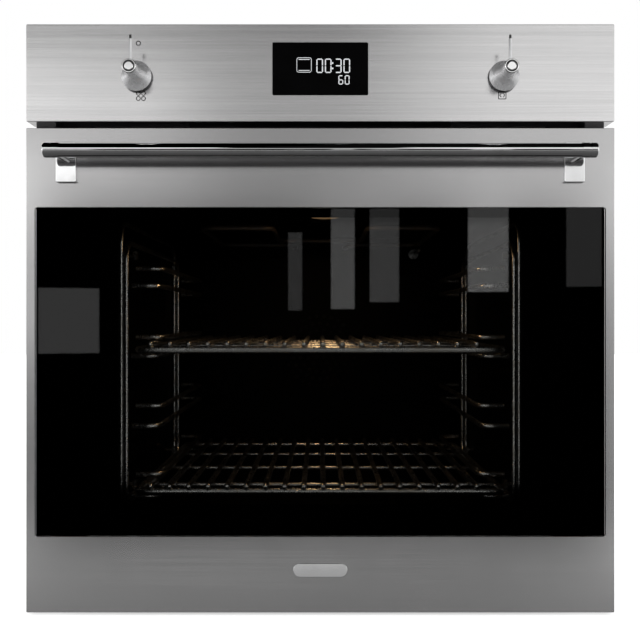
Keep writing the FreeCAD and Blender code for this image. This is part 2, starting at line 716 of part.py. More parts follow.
def blower_housing():
    """Rounded case with a mouth towards the duct, an intake on top and a foot."""
    x, y, z = BLOWER_HOUSE
    wall = 1.5
    outer = rounded_block(x, y, z, 26.0, ALONG_X)
    inside = [(low + wall, high - wall) for low, high in BLOWER_HOUSE]
    inner = rounded_block(*inside, 26.0 - wall, ALONG_X)
    mouth = block(inside[0], (y[0] - 5, y[0] + 30), (VENT_Z[0] - 2, VENT_Z[1]))
    intake = block((x[0] + 10, x[1] - 10), (BLOWER_Y - 18, BLOWER_Y + 18), (z[1] - 5, z[1] + 5))
    foot = block((-110.0, 110.0), (384.0, 418.0), (INSULATION_TOP, 467.0))
    house = outer.fuse(foot).cut(inner).cut(mouth).cut(intake)
    bore = rod((x[0] - 5, BLOWER_Y, BLOWER_Z), (x[1] + 5, BLOWER_Y, BLOWER_Z), BLOWER_SHAFT + RUNNING_GAP)
    save("blower_housing", house.cut(bore))


def blower_motor():
    x0 = BLOWER_HOUSE[0][1]
    body = rod((x0, BLOWER_Y, BLOWER_Z), (x0 + 30.0, BLOWER_Y, BLOWER_Z), 22.0)
    y = (BLOWER_Y - 30, BLOWER_Y + 30)
    stack = rounded_block((x0 + 6, x0 + 22), y, (BLOWER_Z - 26, BLOWER_Z + 26), 4.0, ALONG_X)
    motor = fused([body, stack])
    bore = rod((x0 - 2, BLOWER_Y, BLOWER_Z), (x0 + 24.0, BLOWER_Y, BLOWER_Z), BLOWER_SHAFT + RUNNING_GAP)
    save("blower_motor", motor.cut(bore))


def air_duct():
    """Flat duct from the blower to the slot above the door."""
    wall = 1.5
    z = (VENT_Z[0] - wall, VENT_Z[1] + wall)
    y = (24.0, BLOWER_HOUSE[1][0] - 1.0)
    outer = block((-VENT_HALF - wall, VENT_HALF + wall), y, z)
    inner = block((-VENT_HALF, VENT_HALF), (y[0] - 1, y[1] + 1), VENT_Z)
    feet = [block((s - 6, s + 6), (120.0, 300.0), (INSULATION_TOP, z[0])) for s in (-120.0, 120.0)]
    duct = fused([outer] + feet)
    save("air_duct", duct.cut(inner))


# ---- fascia and controls ------------------------------------------------------------------------

BEZEL_RADIUS = 12.75
BEZEL_HEIGHT = 2.0
BUSH_RADIUS = 4.5
BRACKET_Y = (-7.0, -5.5)


def display_outline(y, grow=0.0):
    half = DISPLAY[0] / 2 + grow
    tall = DISPLAY[1] / 2 + grow
    return rounded_block((-half, half), y, (DISPLAY_Z - tall, DISPLAY_Z + tall), 1.6, ALONG_Y)


def fascia_panel():
    """Folded steel control panel, open at the back."""
    outer = block((-FRONT_HALF, FRONT_HALF), (FRONT_Y, -1.7), (FASCIA_BOTTOM, FASCIA_TOP))
    outer = rounded(outer, 1.2, ALONG_Y)
    inner = block((-FRONT_HALF + SHEET, FRONT_HALF - SHEET), (FRONT_Y + SHEET, 1.0),
                  (FASCIA_BOTTOM + SHEET, FASCIA_TOP - SHEET))
    shell = outer.cut(inner)
    shell = shell.makeFillet(0.5, edges_at(shell, 1, FRONT_Y))
    shell = shell.cut(display_outline((FRONT_Y - 1, FRONT_Y + 3), GLASS_GAP))
    for hole in both(rod((KNOB_X, FRONT_Y - 1, KNOB_Z), (KNOB_X, FRONT_Y + 3, KNOB_Z), BUSH_RADIUS + 0.5)):
        shell = shell.cut(hole)
    save("fascia_panel", shell)


def display():
    """Display pane, with its module and board on posts behind it."""
    glass = display_outline((FRONT_Y, FRONT_Y + 3.0))
    save("display_glass", glass.makeChamfer(0.4, edges_at(glass, 1, FRONT_Y)))
    board = block((-60.0, 60.0), (-14.0, -12.4), (522.0, 584.0))
    module = block((-44.0, 44.0), (FRONT_Y + 3.2, -14.0), (530.0, 576.0))
    posts = []
    for x in (-55.0, 55.0):
        for z in (527.0, 579.0):
            posts.append(rod((x, -12.6, z), (x, BRACKET_Y[0], z), 2.5))
    save("display_board", fused([board, module] + posts))


def control_bracket():
    """Angle behind the fascia that carries the encoders and the display board."""
    x = (-240.0, 240.0)
    low = 506.0
    plate = block(x, BRACKET_Y, (low, 590.0))
    foot = block(x, (BRACKET_Y[0], FRAME_Y[0]), (low - 1.5, low))
    bracket = fused([plate, foot])
    through = (BRACKET_Y[0] - 2, BRACKET_Y[1] + 2)
    hole = rod((KNOB_X, through[0], KNOB_Z), (KNOB_X, through[1], KNOB_Z), BUSH_RADIUS + RUNNING_GAP)
    window = rounded_block((75.0, 115.0), through, (530.0, 566.0), 5.0, ALONG_Y)
    for cutter in both(hole) + both(window):
        bracket = bracket.cut(cutter)
    save("control_bracket", bracket)


def knob_bezels():
    front = FRONT_Y - BEZEL_HEIGHT
    disc = rod((KNOB_X, front, KNOB_Z), (KNOB_X, FRONT_Y, KNOB_Z), BEZEL_RADIUS)
    disc = disc.makeFillet(0.6, edges_at(disc, 1, front))
    hole = rod((KNOB_X, front - 1, KNOB_Z), (KNOB_X, FRONT_Y + 1, KNOB_Z), BUSH_RADIUS + 0.5)
    save("knob_bezels", *both(disc.cut(hole)))


def encoder(x):
    """Rotary encoder: case behind the bracket, threaded bush through it, and a hexagon nut."""
    case = rounded_block((x - 9, x + 9), (BRACKET_Y[1], 8.0), (KNOB_Z - 9, KNOB_Z + 9), 1.0, ALONG_Y)
    bush = rod((x, FRONT_Y - 1.0, KNOB_Z), (x, BRACKET_Y[1], KNOB_Z), BUSH_RADIUS)
    thickness = 2.6
    corners = []
    for index in range(7):
        angle = math.pi / 3 * index
        offset = Vector(math.cos(angle), 0, math.sin(angle)) * 7.5
        corners.append(Vector(x, BRACKET_Y[0] - thickness, KNOB_Z) + offset)
    nut = Part.Face(Part.makePolygon(corners)).extrude(Vector(0, thickness, 0))
    body = fused([case, bush, nut])
    return body.cut(rod((x, FRONT_Y - 3, KNOB_Z), (x, 4.0, KNOB_Z), SPINDLE_RADIUS + RUNNING_GAP))


def spindle(name, side):
    x = side * KNOB_X
    save(name, rod((x, FRONT_Y - 28.0, KNOB_Z), (x, 3.0, KNOB_Z), SPINDLE_RADIUS))


FLARE = [(15.1, 5.4), (13.1, 6.7), (10.8, 9.0), (8.5, 13.0), (7.3, 18.0), (7.0, 23.0)]
HEAD_RADIUS = 7.0


def knob(name, side):
    """Bell-shaped knob: wide rim, concave flare, slim head with a ring and an inner disc at the tip."""
    x = side * KNOB_X

    def at(radius, height):
        return Vector(x + radius, FRONT_Y - height, KNOB_Z)

    flare = Part.BSplineCurve()
    flare.interpolate([at(radius, height) for radius, height in FLARE])
    tip = KNOB_LENGTH
    bore = SPINDLE_RADIUS + RUNNING_GAP
    rim = FLARE[0][0]
    inner = [(HEAD_RADIUS, FLARE[-1][1]), (HEAD_RADIUS, tip - 0.6), (HEAD_RADIUS - 0.6, tip), (5.8, tip),
             (5.5, tip - 1.0), (4.5, tip - 1.0), (4.3, tip - 0.4), (3.7, tip), (0.0, tip), (0.0, tip - 3.0),
             (bore, tip - 3.0), (bore, 6.2), (rim - 2.1, 5.0), (rim - 2.1, KNOB_CLEARANCE),
             (rim - 0.4, KNOB_CLEARANCE), (rim, KNOB_CLEARANCE + 0.4), (rim, FLARE[0][1])]
    edges = [flare.toShape()]
    for (r0, h0), (r1, h1) in zip(inner, inner[1:]):
        edges.append(Part.LineSegment(at(r0, h0), at(r1, h1)).toShape())
    body = Part.Face(Part.Wire(edges)).revolve(Vector(x, 0, KNOB_Z), Vector(0, 1, 0), 360)
    lever_y = FRONT_Y - LEVER_AT
    body = body.cut(rod((x, lever_y, KNOB_Z + LEVER_ROOT), (x, lever_y, KNOB_Z + 12.0), LEVER_RADIUS))
    save(name, body)


def lever(name, side):
    """Thin radial pin with a separate cap on its end."""
    x = side * KNOB_X
    y = FRONT_Y - LEVER_AT
    end = KNOB_Z + LEVER_REACH
    pin = rod((x, y, KNOB_Z + LEVER_ROOT), (x, y, end - LEVER_CAP), LEVER_RADIUS)
    cap = rod((x, y, end - LEVER_CAP), (x, y, end), LEVER_RADIUS - 0.3)
    save(name, pin, cap.makeFillet(0.8, edges_at(cap, 2, end)))


def power_board():
    """Board on four posts, with relays, a transformer and capacitors."""
    low = INSULATION_TOP + 14.0
    top = low + 1.5
    parts = [block((-225.0, -155.0), (180.0, 420.0), (low, low + 1.6))]
    for index in range(4):
        y = 200.0 + index * 30.0
        parts.append(block((-215.0, -197.0), (y, y + 20.0), (top, top + 16.5)))
    parts.append(block((-190.0, -162.0), (330.0, 372.0), (top, top + 28.5)))
    for index in range(3):
        y = 215.0 + index * 34.0
        parts.append(rod((-178.0, y, top), (-178.0, y, top + 22.5), 7.0))
    for x in (-220.0, -160.0):
        for y in (190.0, 410.0):
            parts.append(rod((x, y, INSULATION_TOP), (x, y, low + 0.5), 3.0))
    save("power_board", fused(parts))


def wiring_loom():
    """Taped cable runs: connection box to power board, and power board to the controls."""
    x = LOOM_X
    box_top = TERMINAL[1][1] - TERMINAL_GAP
    rear = [(x, 504.0, box_top), (x, 504.0, 170.0), (x, 487.0, 230.0), (x, 487.0, 488.0), (x, 422.0, 480.0)]
    front = [(x, 178.0, 478.0), (x, 60.0, 482.0), (x, 34.0, 530.0), (x, 9.0, 538.0)]
    save("wiring_loom", bent_bar(rear, 4.0, 16.0), bent_bar(front, 3.5, 14.0))


# ---- door ---------------------------------------------------------------------------------------

def window_outline(y, grow=0.0):
    half = WINDOW_HALF + grow
    return rounded_block((-half, half), y, (WINDOW_Z[0] - grow, WINDOW_Z[1] + grow), 2.0, ALONG_Y)


def door_skin():
    """Folded steel surround with the window opening."""
    x = (-FRONT_HALF, FRONT_HALF)
    fold = (FRONT_Y + 0.5, -2.0)
    front = rounded(block(x, (FRONT_Y, FRONT_Y + SHEET), (DOOR_BOTTOM, DOOR_TOP)), 1.2, ALONG_Y)
    top = block(x, fold, (DOOR_TOP - SHEET, DOOR_TOP))
    sides = both(block((FRONT_HALF - SHEET, FRONT_HALF), fold, (DOOR_BOTTOM + 2, DOOR_TOP)))
    bottom = block(x, (fold[0], FRONT_Y + 4.0), (DOOR_BOTTOM, DOOR_BOTTOM + SHEET))
    lip = block(x, (fold[1] - SHEET, fold[1]), (DOOR_TOP - 12.0, DOOR_TOP))
    shell = fused([front, top, bottom, lip] + sides)
    shell = shell.makeFillet(0.45, edges_at(shell, 1, FRONT_Y))
    save("door_skin", shell.cut(window_outline((FRONT_Y - 1, FRONT_Y + 2), GLASS_GAP)))


def door_glasses():
    outer = window_outline(OUTER_GLASS_Y)
    save("door_outer_glass", outer.makeChamfer(0.4, edges_at(outer, 1, FRONT_Y)))
    half = COLUMN_INNER - 0.2
    middle_z = (BOTTOM_RAIL_HIGH + 0.2, TOP_RAIL_LOW - 0.2)
    save("door_middle_glass", rounded_block((-half, half), MIDDLE_GLASS_Y, middle_z, 3.0, ALONG_Y))
    inner = rounded_block((-PACK_HALF, PACK_HALF), INNER_GLASS_Y, PACK_Z, 6.0, ALONG_Y)
    save("door_inner_glass", inner)


def door_columns():
    """Side channels between the glasses, slotted for air; the middle pane stands between them."""
    y = (OUTER_GLASS_Y[1], INNER_GLASS_Y[0])
    column = block((COLUMN_INNER, PACK_HALF), y, PACK_Z)
    inside = (y[0] + PROFILE_WALL, y[1] - PROFILE_WALL)
    x = (COLUMN_INNER + PROFILE_WALL, PACK_HALF - PROFILE_WALL)
    column = column.cut(block(x, inside, (PACK_Z[0] + 14, PACK_Z[1] - PROFILE_WALL)))
    for index in range(8):
        z = 90.0 + index * 46.0
        column = column.cut(block((PACK_HALF - 3, PACK_HALF + 1), (y[0] + 7, y[1] - 7), (z, z + 26.0)))
    save("door_columns", *both(column))


def door_rails():
    """Top and bottom box rails between the glasses, slotted for air."""
    y = (OUTER_GLASS_Y[1], INNER_GLASS_Y[0])
    inside = (y[0] + PROFILE_WALL, y[1] - PROFILE_WALL)
    rails = (("door_top_rail", TOP_RAIL_LOW, PACK_Z[1]), ("door_bottom_rail", PACK_Z[0], BOTTOM_RAIL_HIGH))
    for name, low, high in rails:
        rail = block((-COLUMN_INNER, COLUMN_INNER), y, (low, high))
        hollow_z = (low + PROFILE_WALL, high - PROFILE_WALL)
        rail = rail.cut(block((-COLUMN_INNER - 1, COLUMN_INNER + 1), inside, hollow_z))
        cutters = []
        for column in range(-7, 8):
            xc = column * 30.0
            cutters.append(block((xc - 10, xc + 10), (y[0] + 8, y[1] - 8), (low - 1, high + 1)))
        save(name, rail.cut(Part.makeCompound(cutters)))


def handle():
    """Tube with a grooved cap on each end, and a plate and neck that hold each cap."""
    z = HANDLE_Z
    y = HANDLE_Y
    bar = tube((-HANDLE_TUBE_HALF, y, z), (HANDLE_TUBE_HALF, y, z), HANDLE_RADIUS, HANDLE_RADIUS - 1.4)
    save("handle_bar", bar)
    groove = 263.4
    radius = HANDLE_CAP_RADIUS
    cap = rod((HANDLE_TUBE_HALF, y, z), (HANDLE_HALF, y, z), radius)
    cap = cap.makeFillet(1.6, edges_at(cap, 0, HANDLE_HALF))
    cap = cap.cut(tube((groove - 0.4, y, z), (groove + 0.4, y, z), radius + 1, radius - 0.5))
    spigot = rod((HANDLE_TUBE_HALF - 16.0, y, z), (HANDLE_TUBE_HALF + 1, y, z), HANDLE_RADIUS - 1.4)
    save("handle_end_caps", *both(cap.fuse(spigot)))
    face = FRONT_Y - HANDLE_PLATE
    plate = rounded_block((245.9, 266.2), (face, FRONT_Y), (437.7, 477.8), 1.2, ALONG_Y)
    plate = plate.makeFillet(0.5, edges_at(plate, 1, face))
    neck = block((HANDLE_TUBE_HALF + 0.3, 263.2), (y, face + 0.5), (z - 5.0, z + 5.0))
    neck = rounded(neck, 2.5, ALONG_Y)
    bracket = plate.fuse(neck).cut(rod((240.0, y, z), (275.0, y, z), HANDLE_CAP_RADIUS))
    save("handle_brackets", *both(bracket))


def door_badge():
    """Blank round-ended plate on the lower band."""
    plate = rounded_block((-27.5, 27.5), (FRONT_Y - 1.0, FRONT_Y), (39.0, 53.0), 6.9, ALONG_Y)
    save("door_badge", plate.makeFillet(0.5, edges_at(plate, 1, FRONT_Y - 1.0)))


# ---- hinges -------------------------------------------------------------------------------------

ARM_HALF = 1.5
LEAF_GAP = (2.4, 4.4)
NOSE_RADIUS = 6.0
LEAF_RADIUS = 6.8


def hinge_arms():
    """Fixed half of each hinge: a nose that carries the pin, on a channel inside the casing."""
    thick = (HINGE_X - ARM_HALF, HINGE_X + ARM_HALF)
    nose = block(thick, (HINGE_Y, 27.0), (HINGE_Z - NOSE_RADIUS, HINGE_Z + NOSE_RADIUS))
    tip = rod((thick[0], HINGE_Y, HINGE_Z), (thick[1], HINGE_Y, HINGE_Z), NOSE_RADIUS)
    x = (HINGE_X - 10, HINGE_X + 10)
    channel = block(x, (FRAME_Y[1], 200.0), (22.0, 56.0))
    hollow = block((x[0] + 1.5, x[1] - 1.5), (FRAME_Y[1] + 2, 198.0), (23.5, 60.0))
    channel = channel.cut(hollow)
    arm = fused([nose, tip, channel])
    bore = HINGE_PIN_RADIUS + RUNNING_GAP
    arm = arm.cut(rod((HINGE_X - 5, HINGE_Y, HINGE_Z), (HINGE_X + 5, HINGE_Y, HINGE_Z), bore))
    arm = arm.cut(rod((HINGE_X, 20.0, ROD_Z), (HINGE_X, 210.0, ROD_Z), ROD_RADIUS + RUNNING_GAP))
    save("hinge_arms", *both(arm))


def hinge_leaves():
    """Moving half of each hinge: two cheeks under the door's side channel, joined by a cap plate."""
    cheeks = []
    for low, high in ((-LEAF_GAP[1], -LEAF_GAP[0]), LEAF_GAP):
        x = (HINGE_X + low, HINGE_X + high)
        cheek = block(x, (HINGE_Y - LEAF_RADIUS, HINGE_Y + LEAF_RADIUS), (HINGE_Z, PACK_Z[0]))
        cheek = cheek.fuse(rod((x[0], HINGE_Y, HINGE_Z), (x[1], HINGE_Y, HINGE_Z), LEAF_RADIUS))
        cheeks.append(cheek)
    plate = block((HINGE_X - 12, HINGE_X + 12), (HINGE_Y - LEAF_RADIUS, 10.0), (PACK_Z[0] - 1.5, PACK_Z[0]))
    leaf = fused(cheeks + [plate])
    leaf = leaf.cut(rod((HINGE_X - 9, HINGE_Y, HINGE_Z), (HINGE_X + 9, HINGE_Y, HINGE_Z), HINGE_PIN_RADIUS))
    save("hinge_leaves", *both(leaf))
    pin = rod((HINGE_X - 6.0, HINGE_Y, HINGE_Z), (HINGE_X + 6.0, HINGE_Y, HINGE_Z), HINGE_PIN_RADIUS)
    save("hinge_pins", *both(pin))


SPRING_START = 25.6
ROD_WASHER_Y = 160.0


def hinge_rods():
    """Draw rods with a thrust washer that squeezes the spring as the door opens."""
    bar = rod((HINGE_X, 24.5, ROD_Z), (HINGE_X, 185.0, ROD_Z), ROD_RADIUS)
    washer = rod((HINGE_X, ROD_WASHER_Y, ROD_Z), (HINGE_X, ROD_WASHER_Y + 2.5, ROD_Z), 7.0)
    save("hinge_rods", *both(bar.fuse(washer)))


def hinge_springs():
    """A compression spring around each draw rod, between the frame and the washer."""
    pitch = 6.4
    coil_radius = 4.8
    height = ROD_WASHER_Y - SPRING_START - 2.4
    helix = Part.makeHelix(pitch, height, coil_radius)
    slope = Vector(0, 1, pitch / (2 * math.pi * coil_radius))
    profile = Part.Wire(Part.makeCircle(0.9, Vector(coil_radius, 0, 0), slope))
    coil = helix.makePipeShell([profile], True, True)
    coil.rotate(Vector(0, 0, 0), Vector(1, 0, 0), -90)
    coil.translate(Vector(HINGE_X, SPRING_START + 1.2, ROD_Z))
    save("hinge_springs", *both(coil))


# ---- build --------------------------------------------------------------------------------------


def main():
    front_frame()
    cavity()
    fan_cover()
    ladder("ladder_right", 1)
    ladder("ladder_left", -1)
    ladder_nuts()
    shelf("lower_shelf", SHELF_LEVELS[0])
    shelf("upper_shelf", SHELF_LEVELS[1])
    grill_element()
    bottom_element()
    ring_element()
    lamp()
    temperature_probe()
    door_seal()
    insulation()
    base_pan()
    side_panel("right_side_panel", 1)
    side_panel("left_side_panel", -1)
    back_panel()
    top_panel()
    casing_screws()
    terminal_box()
    fan_impeller()
    fan_motor()
    blower_rotor()
    blower_housing()
    blower_motor()
    air_duct()
    fascia_panel()
    display()
    control_bracket()
    knob_bezels()
    save("encoders", encoder(KNOB_X), encoder(-KNOB_X))
    for side, word in ((-1, "left"), (1, "right")):
        spindle(word + "_spindle", side)
        knob(word + "_knob", side)
        lever(word + "_lever", side)
    door_columns()
    power_board()
    wiring_loom()
    door_skin()
    door_glasses()
    door_rails()
    handle()
    door_badge()
    hinge_arms()
    hinge_leaves()
    hinge_rods()
    hinge_springs()


main()
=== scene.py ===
import math

import bpy
from mathutils import Matrix, Vector


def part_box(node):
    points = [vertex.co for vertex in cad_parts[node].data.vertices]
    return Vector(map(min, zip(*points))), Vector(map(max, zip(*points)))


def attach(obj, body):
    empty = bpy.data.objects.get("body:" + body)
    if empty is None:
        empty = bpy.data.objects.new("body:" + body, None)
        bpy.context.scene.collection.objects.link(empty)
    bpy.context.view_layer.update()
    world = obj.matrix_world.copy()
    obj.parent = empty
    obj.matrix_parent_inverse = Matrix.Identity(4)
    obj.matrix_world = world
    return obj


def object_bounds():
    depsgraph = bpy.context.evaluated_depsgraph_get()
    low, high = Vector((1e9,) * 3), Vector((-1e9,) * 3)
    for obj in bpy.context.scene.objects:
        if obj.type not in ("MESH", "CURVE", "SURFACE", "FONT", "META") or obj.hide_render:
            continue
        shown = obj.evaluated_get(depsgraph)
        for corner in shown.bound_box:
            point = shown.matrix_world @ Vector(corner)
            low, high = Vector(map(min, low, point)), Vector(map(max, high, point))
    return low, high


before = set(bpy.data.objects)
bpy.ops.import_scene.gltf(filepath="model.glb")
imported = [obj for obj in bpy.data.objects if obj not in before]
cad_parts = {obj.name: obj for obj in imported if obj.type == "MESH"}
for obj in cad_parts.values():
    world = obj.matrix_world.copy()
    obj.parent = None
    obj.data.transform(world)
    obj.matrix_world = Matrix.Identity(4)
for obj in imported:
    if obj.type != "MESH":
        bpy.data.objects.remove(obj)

CAD_BOX = [list(corner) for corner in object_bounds()]
MM = 0.001

# ---- places taken from the frame ----------------------------------------------------------------

DOOR_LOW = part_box("door_skin")[0]
FASCIA_LOW, FASCIA_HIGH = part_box("fascia_panel")
GLASS_LOW, GLASS_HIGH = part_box("door_outer_glass")
DISPLAY_LOW, DISPLAY_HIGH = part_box("display_glass")
LENS_BOTTOM_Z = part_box("lamp_lens")[0][2]
LEVER_TOP_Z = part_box("left_lever")[1][2]
KNOB_TIP_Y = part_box("left_knob")[0][1]
INNER_GLASS_BACK_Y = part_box("door_inner_glass")[1][1]
FRONT_Y = DOOR_LOW[1]
FRONT_MIDDLE_Z = (DOOR_LOW[2] + FASCIA_HIGH[2]) / 2

# ---- thin layers and small sizes ----------------------------------------------------------------

LEVER_CAP = 4.0 * MM
READOUT_DEPTH = 0.05 * MM
INK_DEPTH = 0.03 * MM
PRINT_DEPTH = 0.1 * MM
PRINT_INSET = 0.15 * MM
PRINT_MARGIN = 0.5 * MM
PRINT_ABOVE_CLEAR = 10.0 * MM
LIGHT_GAP = 1.0 * MM
FLOOR_HALF = 6.0
FLOOR_GAP = 0.2 * MM


def middle(node):
    """The middle of a CAD node's box."""
    low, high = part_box(node)
    return [(a + b) / 2 for a, b in zip(low, high)]


# ---- node helpers -------------------------------------------------------------------------------


class Graph:
    """A node tree, with short ways to add nodes and to join them."""

    def __init__(self, tree):
        self.tree = tree
        self.nodes = tree.nodes

    def link(self, source, target):
        self.tree.links.new(source, target)

    def math(self, operation, a, b):
        """The result of an operation on two numbers or sockets."""
        node = self.nodes.new("ShaderNodeMath")
        node.operation = operation
        for socket, value in zip(node.inputs, (a, b)):
            if isinstance(value, (int, float)):
                socket.default_value = value
            else:
                self.link(value, socket)
        return node.outputs[0]

    def ramp(self, source, low, high, to_low=0.0, to_high=1.0):
        """source from low..high becomes to_low..to_high, held outside that range."""
        node = self.nodes.new("ShaderNodeMapRange")
        node.interpolation_type = "SMOOTHSTEP"
        values = (low, high, to_low, to_high)
        for key, value in zip(("From Min", "From Max", "To Min", "To Max"), values):
            node.inputs[key].default_value = value
        self.link(source, node.inputs["Value"])
        return node.outputs["Result"]


class Shader(Graph):
    """A material with one Principled shader, and short ways to add the nodes that feed it."""

    def __init__(self, name):
        self.material = bpy.data.materials.new(name)
        self.material.use_nodes = True
        super().__init__(self.material.node_tree)
        self.surface = next(n for n in self.nodes if n.type == "BSDF_PRINCIPLED")
        self.coordinates = self.nodes.new("ShaderNodeTexCoord").outputs["Object"]
        self.normal = None

    def set(self, **values):
        for key, value in values.items():
            self.surface.inputs[key.replace("_", " ")].default_value = value

    def feed(self, key, source):
        self.link(source, self.surface.inputs[key])

    def stretched(self, scale):
        """Object coordinates, scaled per axis."""
        node = self.nodes.new("ShaderNodeMapping")
        node.inputs["Scale"].default_value = scale
        self.link(self.coordinates, node.inputs["Vector"])
        return node.outputs["Vector"]

    def noise(self, scale, detail=3.0, roughness=0.55, distortion=0.0):
        """Noise with its own number of cells per metre along X, Y and Z."""
        node = self.nodes.new("ShaderNodeTexNoise")
        node.inputs["Scale"].default_value = 1.0
        node.inputs["Detail"].default_value = detail
        node.inputs["Roughness"].default_value = roughness
        node.inputs["Distortion"].default_value = distortion
        self.link(self.stretched(scale), node.inputs["Vector"])
        return node.outputs["Fac"]

    def cells(self, scale):
        """A Voronoi node with its own number of cells per metre along X, Y and Z."""
        node = self.nodes.new("ShaderNodeTexVoronoi")
        node.inputs["Scale"].default_value = 1.0
        self.link(self.stretched(scale), node.inputs["Vector"])
        return node

    def mix(self, factor, first, second):
        """A colour between two colours or sockets."""
        node = self.nodes.new("ShaderNodeMix")
        node.data_type = "RGBA"
        sockets = [s for s in node.inputs if s.type == "RGBA"]
        for socket, value in zip(sockets, (first, second)):
            if isinstance(value, tuple):
                socket.default_value = (*value, 1.0)
            else:
                self.link(value, socket)
        self.link(factor, node.inputs["Factor"])
        return next(s for s in node.outputs if s.type == "RGBA")

    def bump(self, height, distance, strength=1.0):
        """Adds a bump in metres on top of any earlier one."""
        node = self.nodes.new("ShaderNodeBump")
        node.inputs["Strength"].default_value = strength
        node.inputs["Distance"].default_value = distance
        self.link(height, node.inputs["Height"])
        if self.normal is not None:
            self.link(self.normal, node.inputs["Normal"])
        self.normal = node.outputs["Normal"]
        self.feed("Normal", self.normal)


# ---- materials ----------------------------------------------------------------------------------


def brushed_steel(name, shade, streak, roughness, along=(7.0, 900.0, 900.0), depth=0.00001):
    """Stainless sheet with fine streaks along X and faint cloudy marks."""
    s = Shader(name)
    s.set(Metallic=1.0)
    fine = s.noise(along, detail=4.0, roughness=0.75)
    broad = s.noise((1.2, 120.0, 120.0), detail=2.0)
    smudge = s.noise((9.0, 9.0, 9.0), detail=4.0, roughness=0.6)
    lines = s.ramp(fine, 0.25, 0.75, -streak, streak)
    bands = s.ramp(broad, 0.3, 0.7, -streak * 0.35, streak * 0.35)
    level = s.math("ADD", s.math("ADD", lines, bands), shade)
    tint = s.nodes.new("ShaderNodeCombineColor")
    for channel, gain in zip(("Red", "Green", "Blue"), (1.0, 0.992, 0.994)):
        s.link(s.math("MULTIPLY", level, gain), tint.inputs[channel])
    s.feed("Base Color", tint.outputs["Color"])
    rough = s.math("ADD", s.ramp(fine, 0.2, 0.8, -0.03, 0.03), s.ramp(smudge, 0.35, 0.7, 0.0, 0.02))
    s.feed("Roughness", s.math("ADD", rough, roughness))
    s.bump(fine, depth, 0.3)
    return s.material


def chrome(name, shade=0.82, roughness=0.07):
    """Polished plating with hairline scratches and a thin haze."""
    s = Shader(name)
    s.set(Metallic=1.0)
    scratch = s.noise((60.0, 900.0, 900.0), detail=2.0, roughness=0.8)
    haze = s.noise((45.0, 45.0, 45.0), detail=5.0)
    bright = (shade, shade, shade * 1.01)
    hazy = (shade * 0.93,) * 3
    s.feed("Base Color", s.mix(s.ramp(haze, 0.35, 0.75), bright, hazy))
    rough = s.math("ADD", s.ramp(haze, 0.4, 0.8, 0.0, 0.05), s.ramp(scratch, 0.6, 0.8, 0.0, 0.06))
    s.feed("Roughness", s.math("ADD", rough, roughness))
    s.bump(scratch, 0.000004, 0.3)
    return s.material


def tipped_chrome(name, tip_z):
    """Plating that turns into a dark cap above one height."""
    s = Shader(name)
    haze = s.noise((60.0, 60.0, 60.0), detail=5.0)
    height = s.nodes.new("ShaderNodeSeparateXYZ")
    s.link(s.coordinates, height.inputs["Vector"])
    above = s.ramp(height.outputs["Z"], tip_z - 0.1 * MM, tip_z)
    plated = s.mix(s.ramp(haze, 0.35, 0.75), (0.85, 0.85, 0.86), (0.78, 0.78, 0.79))
    s.feed("Base Color", s.mix(above, plated, (0.02, 0.02, 0.02)))
    s.feed("Metallic", s.ramp(above, 0.0, 1.0, 1.0, 0.0))
    s.feed("Roughness", s.math("ADD", s.ramp(haze, 0.4, 0.8, 0.1, 0.18), s.ramp(above, 0.0, 1.0, 0.0, 0.3)))
    return s.material


def knob_chrome(name, tip_y):
    """Satin bell, polished tip face, and painted shade: near-black colour in the groove between the tip's
    ring and its disc.
    """
    s = Shader(name)
    haze = s.noise((90.0, 90.0, 90.0), detail=5.0)
    split = s.nodes.new("ShaderNodeSeparateXYZ")
    s.link(s.coordinates, split.inputs["Vector"])
    depth = s.math("SUBTRACT", split.outputs["Y"], tip_y)
    body = s.ramp(depth, 0.45 * MM, 0.6 * MM)
    # Mask of the groove between the tip's ring and its disc, which is painted near-black as shade.
    groove_shade = s.math("MULTIPLY", body, s.ramp(depth, 1.1 * MM, 1.3 * MM, 1.0, 0.0))
    satin = s.mix(s.ramp(haze, 0.35, 0.75), (0.62, 0.62, 0.63), (0.56, 0.56, 0.565))
    metal = s.mix(body, (0.98, 0.98, 0.98), satin)
    s.feed("Base Color", s.mix(groove_shade, metal, (0.05, 0.05, 0.05)))
    s.feed("Metallic", s.ramp(body, 0.0, 1.0, 1.0, 0.68))
    s.feed("Roughness", s.math("ADD", s.ramp(body, 0.0, 1.0, 0.05, 0.27), s.ramp(haze, 0.4, 0.8, 0.0, 0.04)))
    return s.material


def shelf_wire(name):
    """Chromed wire that baking has dulled and browned in patches."""
    s = Shader(name)
    s.set(Metallic=1.0)
    patch = s.noise((22.0, 22.0, 60.0), detail=5.0, roughness=0.65)
    grain = s.noise((500.0, 500.0, 500.0), detail=2.0)
    s.feed("Base Color", s.mix(s.ramp(patch, 0.45, 0.75), (0.66, 0.65, 0.64), (0.52, 0.48, 0.43)))
    rough = s.math("ADD", s.ramp(patch, 0.4, 0.8, 0.24, 0.32), s.ramp(grain, 0.3, 0.7, 0.0, 0.06))
    s.feed("Roughness", rough)
    s.bump(grain, 0.00001, 0.5)
    return s.material


def enamel(name, colour, speck=0.12, roughness=0.22, coat=0.6, specular=0.5):
    """Vitreous enamel: slightly wavy, with tiny pale specks."""
    s = Shader(name)
    s.set(Roughness=roughness, Coat_Weight=coat, Coat_Roughness=0.08, Specular_IOR_Level=specular)
    dots = s.cells((420.0, 420.0, 420.0))
    size = s.noise((300.0, 300.0, 300.0), detail=1.0)
    near = s.ramp(dots.outputs["Distance"], 0.10, 0.16, 1.0, 0.0)
    shown = s.math("MULTIPLY", near, s.ramp(size, 0.56, 0.6))
    pale = tuple(c + speck for c in colour)
    s.feed("Base Color", s.mix(shown, colour, pale))
    wave = s.noise((28.0, 28.0, 28.0), detail=3.0)
    s.bump(wave, 0.0004, 0.25)
    return s.material


